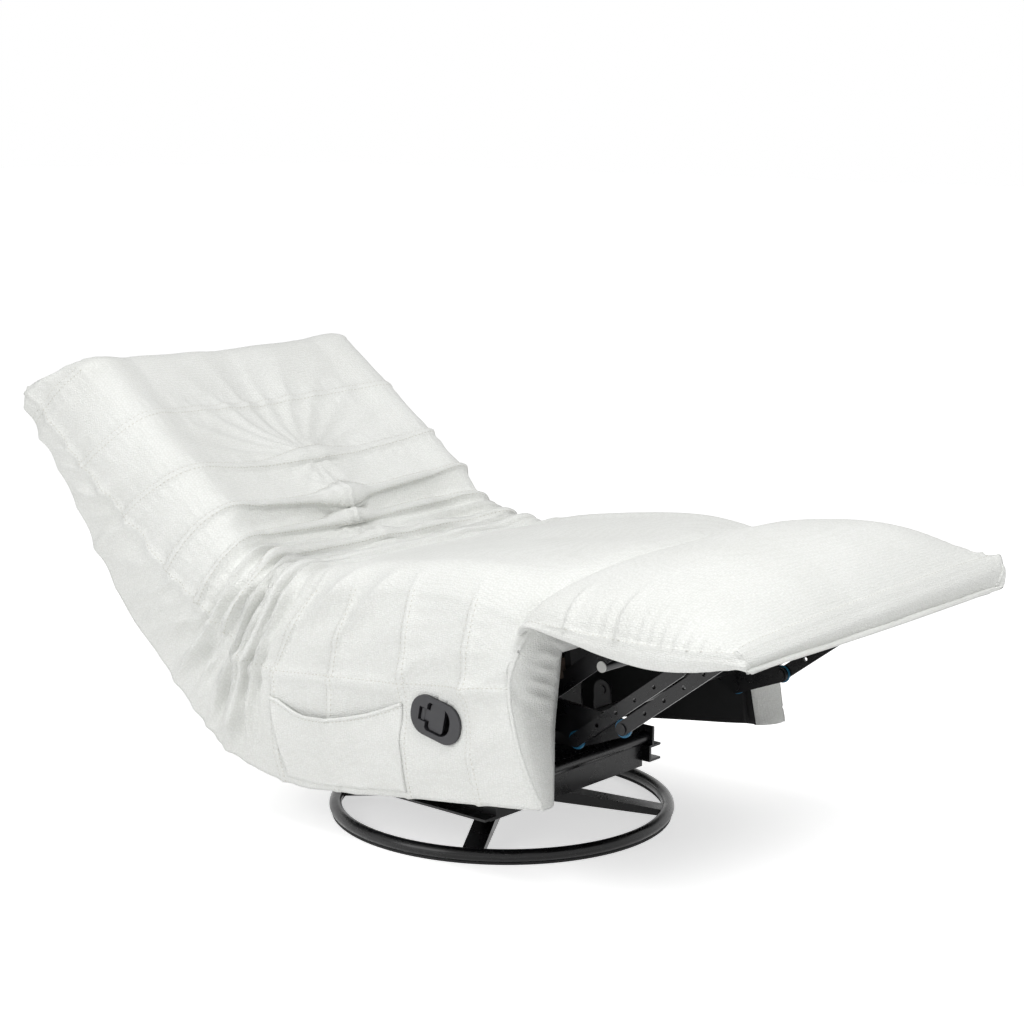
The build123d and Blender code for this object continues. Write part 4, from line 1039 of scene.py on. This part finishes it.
def gathers(grid, lines):
    """Tight folds where the back meets the seat, deepest on the sides."""
    line, column = cell_numbers(grid, FINE)
    at, marks = lines["at"], side_columns()
    near_crease = valley(line - at["crease"] + 6, 11.0)
    below = 1 - 0.8 * smooth_step(column, marks[3] - 3, marks[4])
    waver = 0.3 * np.sin(column * 0.06 + line * 0.11 + np.sign(grid[..., 0]))
    waver = 0.45 * np.sin(column * 0.11 + 0.4) + waver
    tight = fold_height(line / FOLD_LINES + waver)
    loose = fold_height(line / (2.3 * FOLD_LINES) + 0.6 * waver + 0.3)
    seam = CREASE_DEPTH * valley(line - at["crease"], 1.1)
    seam = seam * (1 - 0.6 * smooth_step(column, marks[2], marks[4]))
    folds = sum(depth * fold_shape(line - at[name] - past - 1.4 * waver) for name, past, depth in FOLDS)
    foot = 0.12 + 0.88 * smooth_step(column, 0, 10)
    seam = seam * (0.4 + 0.6 * smooth_step(column, 0, 8))
    return foot * (near_crease * below * (TIGHT_FOLD * tight + LOOSE_FOLD * loose) + below * folds) - seam


gather_push = gathers(cover_fine, cover_lines)
print(f"gathers from {gather_push.min():.1f} to {gather_push.max():.1f} mm")

# %% [markdown]
# The side panels are only loosely covered, so slack hangs in slanting wrinkles. The back's lower sides have
# short ribs, the front edge is gathered round its corner, and no cloth is quite even anywhere. Each is a
# wave with its own direction and spacing, and a mask that says where it shows.

# %% Wrinkles of slack cloth
SLANT_RISE = 15.0
SLANT_SPACING = 74.0
SOFT_RISE = 1.3
BROW_RISE = 5.0
BROW_SPACING = 24.0
RIB_RISE = 8.0
RIB_LINES = 5.3


def slant_wrinkles(grid, seat, flank, above):
    """Slanting wrinkles in patches on the sides."""
    y, z = grid[..., 1], grid[..., 2]
    phase = (y * 0.66 + z * 0.75) / SLANT_SPACING
    slant = fold_height(phase + 0.25 * np.sin(y / 71.0) + 0.3 * np.sign(grid[..., 0]))
    patch = np.clip(np.sin(y / 83.0 + 0.7) * np.sin(z / 61.0 + 0.3) + 0.35, 0, 1)
    return flank * patch * (seat * (0.4 + 0.9 * above) + (1 - seat) * 0.7) * slant


def drape_wrinkles(grid, lines):
    """Slack diagonal wrinkles on the sides and soft unevenness all over."""
    line, column = cell_numbers(grid, FINE)
    at, marks = lines["at"], side_columns()
    flank = 1 - smooth_step(column, marks[2] - 1, marks[2] + 8)
    above = smooth_step(column, marks[1] - 1, marks[1] + 3)
    seat = smooth_step(line, at["crease"], at["side_1"])
    x, y, z = (grid[..., k] for k in range(3))
    soft = np.sin(x / 61.0 + y / 93.0) * np.sin(x / 37.0 - y / 57.0 + 1.0)
    ribs = fold_height(line / RIB_LINES + 0.35 * np.sin(column * 0.29 + 0.6) + 0.2 * np.sin(line * 0.37))
    ribs = ribs * (1 - seat) * smooth_step(column, 0, 6) * (1 - above)
    ribs = ribs * smooth_step(line, at["top"], at["seam_1"])
    brow = valley(line - at["front"] - 3.5, 1.7) * above * flank
    gathered = fold_height((z + 0.35 * x) / BROW_SPACING) * brow
    slant = slant_wrinkles(grid, seat, flank, above)
    return SLANT_RISE * slant + SOFT_RISE * soft + BROW_RISE * gathered + RIB_RISE * ribs


wrinkle_push = drape_wrinkles(cover_fine, cover_lines)
print(f"wrinkles from {wrinkle_push.min():.1f} to {wrinkle_push.max():.1f} mm")

# %% [markdown]
# The release handle is sunk in the near panel. A Boolean would cut a ragged hole through the folds. Instead
# the cloth is drawn level round the handle's plate, the points beside its rim are gathered onto the rim,
# and the points inside it are pushed down behind the plate. The edge then follows the rim cleanly.

# %% Opening for the handle
HANDLE_HALF = (52.0, 33.0)
HANDLE_CORNER_R = 31.0
HANDLE_LEAN = math.radians(11.0)
HANDLE_TUCK = 2.5
NEAR_PANEL_X = -300.0
PANEL_LEVEL_X = -357.5
CUP_FLOOR_X = -330.0
# Distances out from the rim between which the cloth rises to its own shape, and points are gathered.
LEVEL_REACH = (6.0, 46.0)
GATHER_REACH = (-8.0, 2.0)


def handle_reach(grid):
    """How far each point lies outside the handle's rounded plate, in its plane, and the way out."""
    low, high = (np.array(corner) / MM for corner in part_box("handle_housing"))
    centre = (low + high) / 2
    y, z = grid[..., 1] - centre[1], grid[..., 2] - centre[2]
    cos, sin = math.cos(HANDLE_LEAN), math.sin(HANDLE_LEAN)
    u, v = y * cos + z * sin, z * cos - y * sin
    past_u = np.abs(u) - (HANDLE_HALF[0] - HANDLE_CORNER_R)
    past_v = np.abs(v) - (HANDLE_HALF[1] - HANDLE_CORNER_R)
    corner = np.hypot(np.maximum(past_u, 0), np.maximum(past_v, 0))
    apart = corner + np.minimum(np.maximum(past_u, past_v), 0) - HANDLE_CORNER_R
    out_u = np.where(corner > 0, np.maximum(past_u, 0), past_u > past_v) * np.sign(u)
    out_v = np.where(corner > 0, np.maximum(past_v, 0), past_v >= past_u) * np.sign(v)
    size = np.maximum(np.hypot(out_u, out_v), 1e-6)
    out_u, out_v = out_u / size, out_v / size
    return apart, np.stack([out_u * cos - out_v * sin, out_u * sin + out_v * cos], axis=-1)


def sink_handle(grid):
    """Levels the near panel round the rim, gathers the points beside the rim onto it and sinks the rest."""
    near = grid[..., 0] < NEAR_PANEL_X
    apart, out = handle_reach(grid)
    level = near * (1 - smooth_step(apart, *LEVEL_REACH))
    grid[..., 0] += level * (PANEL_LEVEL_X - grid[..., 0])
    beside = near & (apart < GATHER_REACH[1]) & (apart > GATHER_REACH[0])
    grid[..., 1:] -= np.where(beside, apart + HANDLE_TUCK, 0.0)[..., None] * out
    sunk = near & (apart <= GATHER_REACH[0])
    grid[..., 0] = np.where(sunk, CUP_FLOOR_X, grid[..., 0])
    return grid


folded_push = seam_push + tuft_push + gather_push + wrinkle_push
folded_push *= smooth_step(cell_numbers(cover_fine, FINE)[0], 0, 4)
cover_folded = sink_handle(cover_fine + grid_normals(cover_fine) * folded_push[..., None])
print("points sunk behind the handle:", int((cover_folded[..., 0] == CUP_FLOOR_X).sum()))

# %% [markdown]
# A finished piece is one object with several materials: cloth outside, lining inside, thread in the seams.
# Separate objects could be joined in Blender at the end. Here points and faces are gathered first, with the
# material of each face, and one mesh is made of them.

# %% Pieces with several materials
class Piece:
    """Gathers points and faces with their materials, then makes one object of them."""

    def __init__(self, name):
        self.name = name
        self.points, self.faces, self.finish, self.materials = [], [], [], []

    def add(self, points, faces, material):
        start = len(self.points)
        self.points += np.asarray(points).tolist()
        self.more([[start + number for number in face] for face in faces], material)

    def more(self, faces, material):
        """Faces on points that are already there."""
        if material not in self.materials:
            self.materials.append(material)
        self.faces += faces
        self.finish += [self.materials.index(material)] * len(faces)

    def make(self):
        mesh = bpy.data.meshes.new(self.name)
        mesh.from_pydata(self.points, [], self.faces)
        for material in self.materials:
            mesh.materials.append(material)
        mesh.polygons.foreach_set("material_index", self.finish)
        mesh.polygons.foreach_set("use_smooth", [True] * len(self.faces))
        turn_out(mesh, merge=True)
        made = bpy.data.objects.new(self.name, mesh)
        scene.collection.objects.link(made)
        print(self.name, "faces:", len(mesh.polygons))
        return made


# %% [markdown]
# Seams are topstitched in thread, and the front of each side panel has a piped edge. A stitch is so small
# that eight faces do: a spindle, half sunk in the cloth. They are set along a path at an even pitch. Piping
# and bindings are round strands along a path. A curve with a bevel would give the same, but it has to be
# made a mesh in the end.

# %% Stitches and strands
# Sizes of the stitches in metres.
STITCH_PITCH = 0.0085
STITCH_LENGTH = 0.0056
STITCH_R = 0.0009
STITCH_AHEAD = 0.002
# Stitches stay this far off the handle's rim, in millimetres.
HANDLE_CLEAR = 4.0


def tube(path, radius, sides=8):
    """Points and faces of a closed round strand along a path in metres."""
    path = np.asarray(path)
    along = np.gradient(path, axis=0)
    along /= np.linalg.norm(along, axis=1, keepdims=True)
    side = np.cross(along, np.where(np.abs(along[:, 2:]) > 0.9, [[1.0, 0, 0]], [[0, 0, 1.0]]))
    side /= np.linalg.norm(side, axis=1, keepdims=True)
    up = np.cross(side, along)
    turn = np.arange(sides) * 2 * math.pi / sides
    ring = side[:, None] * np.cos(turn)[None, :, None] + up[:, None] * np.sin(turn)[None, :, None]
    points = (path[:, None] + radius * ring).reshape(-1, 3)
    number = np.arange(len(path) * sides).reshape(len(path), sides)
    after = np.roll(number, -1, axis=1)
    faces = quads(number[:-1], after[:-1], after[1:], number[1:])
    return points, faces + [number[0].tolist(), number[-1].tolist()]


def along_path(where, run, values):
    """Values at the path's points, read off at distances along it."""
    return np.stack([np.interp(where, run, values[:, k]) for k in range(3)], axis=1)


def stitches(path, normals):
    """Small spindle-shaped stitches along a path in metres, half sunk in the cloth."""
    path = np.asarray(path)
    run = np.concatenate([[0], np.cumsum(np.linalg.norm(np.diff(path, axis=0), axis=1))])
    where = np.arange(STITCH_PITCH / 2, run[-1], STITCH_PITCH)
    middle, ahead = along_path(where, run, path), along_path(where + STITCH_AHEAD, run, path)
    out = along_path(where, run, normals)
    clear = (handle_reach(middle / MM)[0] > HANDLE_CLEAR) | (middle[:, 0] > 0)
    middle, ahead, out = middle[clear], ahead[clear], out[clear]
    along = ahead - middle
    along /= np.maximum(np.linalg.norm(along, axis=1, keepdims=True), 1e-9)
    side = np.cross(along, out)
    corners = [along * STITCH_LENGTH / 2, side * STITCH_R, out * STITCH_R]
    corners = [sign * corner for corner in corners for sign in (1, -1)]
    points = np.stack([middle + corner for corner in corners], axis=1).reshape(-1, 3)
    pattern = [[a, b, c] for a in (0, 1) for b in (2, 3) for c in (4, 5)]
    faces = [[6 * i + number for number in face] for i in range(len(middle)) for face in pattern]
    return points, faces


def sew(piece, grid, normals, lines, columns):
    """A row of stitches along one line or one column of a fine grid."""
    piece.add(*stitches(grid[lines, columns] * MM, normals[lines, columns]), THREAD)


print(f"stitches to the metre: {1 / STITCH_PITCH:.0f}")

# %% [markdown]
# The body cover is put together from its grids: cloth outside and on the back's rear face, black lining in
# the seat's hollow, two rows of stitches at each seam, and piping up the front of each side panel.

# %% Body cover
# Radius in metres, and columns by which the piping runs on past the side's edge.
PIPING_R = 0.0032
PIPING_TUCK = 8


def add_seams(piece, grid, normals, lines):
    """Stitches beside the seams and piping up the front of each side panel."""
    at, marks = lines["at"], side_columns() * FINE
    last = grid.shape[1] - 1
    sides = (slice(0, marks[2] + FINE), slice(last - marks[2] - FINE, last + 1))
    for name in BACK_SEAMS[1:]:
        for beside in (-1, 1):
            sew(piece, grid, normals, at[name] * FINE + beside, slice(marks[1], last - marks[1] + 1))
    for name in BACK_SEAMS[:1] + SIDE_SEAMS:
        for beside in (-1, 1):
            for side in sides:
                sew(piece, grid, normals, at[name] * FINE + beside, side)
    body = slice(at["top"] * FINE, at["front"] * FINE)
    for column in (marks[1] + 1, last - marks[1] - 1):
        sew(piece, grid, normals, body, column)
    edge, end = at["front"] * FINE, marks[2] + PIPING_TUCK
    for side in (slice(0, end), slice(last - end, last + 1)):
        piece.add(*tube((grid[edge, side] + normals[edge, side]) * MM, PIPING_R), CHENILLE)


def make_body_cover(outer, inner, lines):
    piece = Piece("body_cover")
    points, faces, inside = closed_skin(outer, inner)
    piece.add(points, faces, CHENILLE)
    rear = lines["at"]["crease"] * (inner.shape[1] - 1)
    piece.more(inside[:rear], CHENILLE)
    piece.more(inside[rear:], LINING)
    add_seams(piece, outer, grid_normals(outer), lines)
    return piece.make()


cover = make_body_cover(cover_folded, cover_inner, cover_lines)

# %% [markdown]
# The footrest's pad is a crowned cushion with a band round its sides and toe. It is made the way the cover
# is, from rows between which a smooth curve runs. Its heel starts inside the seat's front, so that its end
# doesn't show while the footrest is out.

# %% Grids of the footrest's pad
# Row: name, cells to the next row, centre, edge seam, band's lower edge (y, z each), half width.
PAD_ROWS = (
    ("root", 4, (-350, 492), (-320, 432), (-320, 428), 346),
    ("heel", 8, (-402, 538), (-350, 456), (-352, 450), 366),
    ("fold", 9, (-470, 556), (-430, 460), (-436, 446), 378),
    ("crest", 9, (-556, 569), (-506, 461), (-508, 436), 384),
    ("ball", 9, (-640, 562), (-590, 466), (-592, 432), 387),
    ("slope", 8, (-702, 531), (-668, 478), (-670, 440), 388),
    ("toe", 2, (-736, 496), (-742, 487), (-746, 456), 383),
    ("lip", 2, (-753, 476), (-757, 470), (-756, 450), 372),
    ("under", 0, (-745, 447), (-745, 446), (-744, 445), 353),
)
# Cells across one side of the pad: up the band, and over the top to the centre.
PAD_COLUMN_CELLS = (4, 30)
BAND_STAND = 2.0
BAND_BULGE = 5.0
PAD_CROWN_POWER = 2.2
PAD_UNDER_INSET = 10.0
PAD_BOTTOM_DROP = 3.0
TOE_WARP = 11.0
# Where the warp of the toe sets in and is full: distance to the front, and height.
TOE_WARP_FORE = (450, 740)
TOE_WARP_HIGH = (455, 480)


def pad_row_lines():
    cells = [row[1] for row in PAD_ROWS[:-1]]
    names = ("centre", "edge", "foot")
    lines = {name: smooth_between([row[2 + i] for row in PAD_ROWS], cells) for i, name in enumerate(names)}
    lines["half"] = smooth_between([row[5] for row in PAD_ROWS], cells)
    lines["at"] = dict(zip([row[0] for row in PAD_ROWS], np.cumsum([0] + cells)))
    return lines


def pad_section(centre, edge, foot, half):
    """Outer and under points of one section of the pad, from the near lower edge to the centre."""
    side, top = PAD_COLUMN_CELLS
    f = np.arange(side) / side
    band = foot + (edge - foot) * f[:, None]
    band_x = half + BAND_STAND + BAND_BULGE * np.sin(f * math.pi)
    across = 1 - np.arange(top + 1) / top
    rise = 1 - across ** PAD_CROWN_POWER
    crown = edge + (centre - edge) * np.stack([1 - across ** 2, rise], axis=1)
    xs = np.concatenate([band_x, half * np.sin(across * math.pi / 2) ** 0.86])
    under_x = (half - PAD_UNDER_INSET) * np.linspace(1, 0, side + top + 1)
    drop = PAD_BOTTOM_DROP * np.sin(np.linspace(0, math.pi / 2, side + top + 1))
    under = np.column_stack([-under_x, np.full(len(xs), foot[0]), foot[1] - drop])
    return np.column_stack([-xs, np.concatenate([band, crown])]), under


def pad_grids(lines):
    """Outer and inner grids of the footrest's pad, near side first."""
    facts = zip(lines["centre"], lines["edge"], lines["foot"], lines["half"])
    sections = [pad_section(*fact) for fact in facts]
    outer, inner = (both_sides(np.array(grid)) for grid in zip(*sections))
    toe_share = smooth_step(-outer[..., 1], *TOE_WARP_FORE) * smooth_step(outer[..., 2], *TOE_WARP_HIGH)
    outer[..., 2] += TOE_WARP * toe_share * outer[..., 0] / max(lines["half"])
    return outer, inner


pad_lines = pad_row_lines()
pad_outer, pad_inner = pad_grids(pad_lines)
print("pad grid:", pad_outer.shape[:2])

# %% [markdown]
# The pad's top is sewn to its band, so a groove runs round it, with gathers along the sides, pinched cloth
# at the toe's corners and two pleats a side near the heel. As on the cover, each is a push along the
# normals of a fine grid.

# %% Seam, gathers and pleats of the pad
PAD_SEAM_GROOVE = 6.0
PAD_GATHER = 5.5
PAD_GATHER_SPACING = 24.0
PAD_PINCH = 1.6
PAD_PINCH_SPACING = 26.0
PAD_CORNER = (380.0, -735.0)
PAD_CORNER_REACH = 52.0
PLEAT_DEPTH = 8.0
PLEATS_Y = (-440.0, -540.0)
PAD_SOFT = 1.6


def pad_push(grid, lines):
    """Seam groove round the pad's top, gathers along it and the two pleats on each side."""
    line, column = cell_numbers(grid, FINE)
    seam, toe = PAD_COLUMN_CELLS[0], lines["at"]["toe"]
    on_pad = smooth_step(line, lines["at"]["root"] + 3, lines["at"]["fold"])
    side_seam = valley(column - seam, 0.6) * (line <= toe)
    toe_seam = valley(line - toe, 0.6) * (column > seam)
    y, x = grid[..., 1], grid[..., 0]
    inward = column - seam
    beside = (1 - smooth_step(inward, 3, 11)) * (inward > 0)
    gathered = fold_height(y / PAD_GATHER_SPACING + 0.3 * np.sin(y / 47.0))
    gathered = gathered * beside * smooth_step(-y, 450, 520)
    corner = valley(np.hypot(y - PAD_CORNER[1], np.abs(x) - PAD_CORNER[0]), PAD_CORNER_REACH)
    pinch = fold_height((np.abs(x) - y) / PAD_PINCH_SPACING) * corner
    pleats = sum(valley(y - at, 5.0) for at in PLEATS_Y) * (1 - smooth_step(inward, 6, 14)) * (inward > 0)
    soft = np.sin(x / 83.0 + y / 61.0) * np.sin(x / 47.0 - y / 71.0 + 0.6)
    push = PAD_GATHER * gathered + PAD_PINCH * pinch - PLEAT_DEPTH * pleats + PAD_SOFT * soft
    return push * on_pad - PAD_SEAM_GROOVE * np.maximum(side_seam, toe_seam) * on_pad


print("pleats a side:", len(PLEATS_Y))

# %% [markdown]
# The pad is swollen as cloth with its band, toe and heel held, and then pushed into its folds. Below, only
# a hem of cloth shows round black lining, as where a cover is stapled to its board.

# %% Footrest pad
# Furthest a point may settle, in metres, and the slack as a share of the cloth's length.
PAD_SWELL_CAP = 0.005
PAD_SLACK = 0.0
PAD_HEM_CELLS = 5


def under_cells(shape, hem):
    """For each cell of an underside, whether it lies further in than the hem."""
    within = np.zeros((shape[0] - 1, shape[1] - 1), bool)
    within[hem:-hem, hem:-hem] = True
    return within.ravel()


def pad_held(grid, lines):
    """1 on the pad's toe, heel and band, which its board holds, and 0 on its top."""
    line, column = cell_numbers(grid)
    held = (line >= lines["at"]["toe"]) | (line <= 2) | (column <= PAD_COLUMN_CELLS[0])
    return held.astype(float)


def make_pad(outer, inner, lines):
    normals = grid_normals(outer)
    piece = Piece("footrest_pad")
    points, faces, inside = closed_skin(outer, inner)
    piece.add(points, faces, CHENILLE)
    cells = under_cells(inner.shape, PAD_HEM_CELLS)
    for hidden, material in ((False, CHENILLE), (True, LINING)):
        piece.more([face for face, within in zip(inside, cells) if within == hidden], material)
    toe, seam = lines["at"]["toe"] * FINE, PAD_COLUMN_CELLS[0] * FINE
    last = outer.shape[1] - 1
    sew(piece, outer, normals, toe - 1, slice(seam, last - seam + 1))
    for column in (seam + 1, last - seam - 1):
        sew(piece, outer, normals, slice(lines["at"]["heel"] * FINE, toe), column)
    return piece.make()


pad_fine = refine(swell(pad_outer, pad_inner, pad_held(pad_outer, pad_lines), PAD_SWELL_CAP, PAD_SLACK))
pad_folded = pad_fine + grid_normals(pad_fine) * pad_push(pad_fine, pad_lines)[..., None]
pad = make_pad(pad_folded, pad_inner, pad_lines)

# %% [markdown]
# A patch pocket lies on the near panel, sewn down at its ends and foot, with a bound mouth that hangs a
# little open. A Shrinkwrap modifier could lay it on the cover, but it would take over every wrinkle below.
# Rays are cast onto the cover instead, what they hit is smoothed, and the belly of the pocket is added.

# %% Patch pocket
# Points (y, z) along the mouth and the foot, and cells between them and up the pocket.
POCKET_MOUTH = ((203, 242), (136, 222), (66, 227), (-24, 252), (-92, 281))
POCKET_FOOT = ((180, 100), (126, 102), (66, 108), (-14, 120), (-96, 132))
POCKET_CELLS = (16, 28)
POCKET_T = 2.4
POCKET_GAP = 1.0
POCKET_BELLY = 9.0
POCKET_SOFT = 1.2
POCKET_SMOOTHING = 12
# Radius of the mouth's binding and how far it is sunk in, in metres.
BINDING_R = 0.0030
BINDING_SINK = 0.001


def laid_on(cover_tree, flat):
    """Points of the cover's near side at a flat grid of (y, z), smoothed away from its rim."""
    grid = np.zeros(flat.shape[:2] + (3,))
    grid[..., 1:] = flat
    for i, j in np.ndindex(*flat.shape[:2]):
        start = Vector((-1.0, flat[i, j, 0] * MM, flat[i, j, 1] * MM))
        hit = cover_tree.ray_cast(start, Vector((1, 0, 0)))[0]
        grid[i, j, 0] = hit.x / MM
    for _ in range(POCKET_SMOOTHING):
        depth = grid[..., 0]
        around = depth[:-2, 1:-1] + depth[2:, 1:-1] + depth[1:-1, :-2] + depth[1:-1, 2:]
        grid[1:-1, 1:-1, 0] = around / 4
    return grid


def pocket_grid(cover_tree):
    """Outer points of the pocket, from its foot to its mouth."""
    cells = [POCKET_CELLS[0]] * (len(POCKET_MOUTH) - 1)
    mouth, foot = smooth_between(POCKET_MOUTH, cells), smooth_between(POCKET_FOOT, cells)
    up = np.linspace(0, 1, POCKET_CELLS[1] + 1)[:, None, None]
    flat = foot + (mouth - foot) * up
    along = np.linspace(0, 1, flat.shape[1])[None, :]
    belly = np.sin(along * math.pi) ** 0.7 * up[..., 0]
    grid = laid_on(cover_tree, flat)
    soft = POCKET_SOFT * np.sin(flat[..., 0] / 19.0 + flat[..., 1] / 31.0) * belly
    grid[..., 0] -= POCKET_T + POCKET_GAP + POCKET_BELLY * belly + soft
    return grid


def make_pocket(outer):
    piece = Piece("pocket")
    points, faces, back = closed_skin(outer, outer + np.array([POCKET_T, 0, 0]))
    piece.add(points, faces + back, CHENILLE)
    piece.add(*tube(outer[-1] * MM + np.array([BINDING_SINK, 0, 0]), BINDING_R), CHENILLE)
    out = np.tile([-1.0, 0, 0], (outer.shape[1], 1))
    piece.add(*stitches(outer[-2] * MM, out), THREAD)
    return piece.make()


cover_tree = BVHTree.FromObject(cover, bpy.context.evaluated_depsgraph_get())
pocket = make_pocket(pocket_grid(cover_tree))

# %% [markdown]
# Last, the CAD pieces that the soft ones stand for are hidden, the cover and the pad keep their points
# where they were made, and the pocket rides on the seat. On the real chair the cloth runs on over the
# joints between seat and back and between seat and footrest.

# %% View, hidden CAD pieces and the pocket's body
scene.view_settings.view_transform = "Standard"
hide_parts("seat_cushion", "left_side_panel", "right_side_panel", "back_cushion", "back_cover")
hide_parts("footrest_cushion")
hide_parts("side_pocket")
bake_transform(cover)
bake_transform(pad)
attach(pocket, "seat")
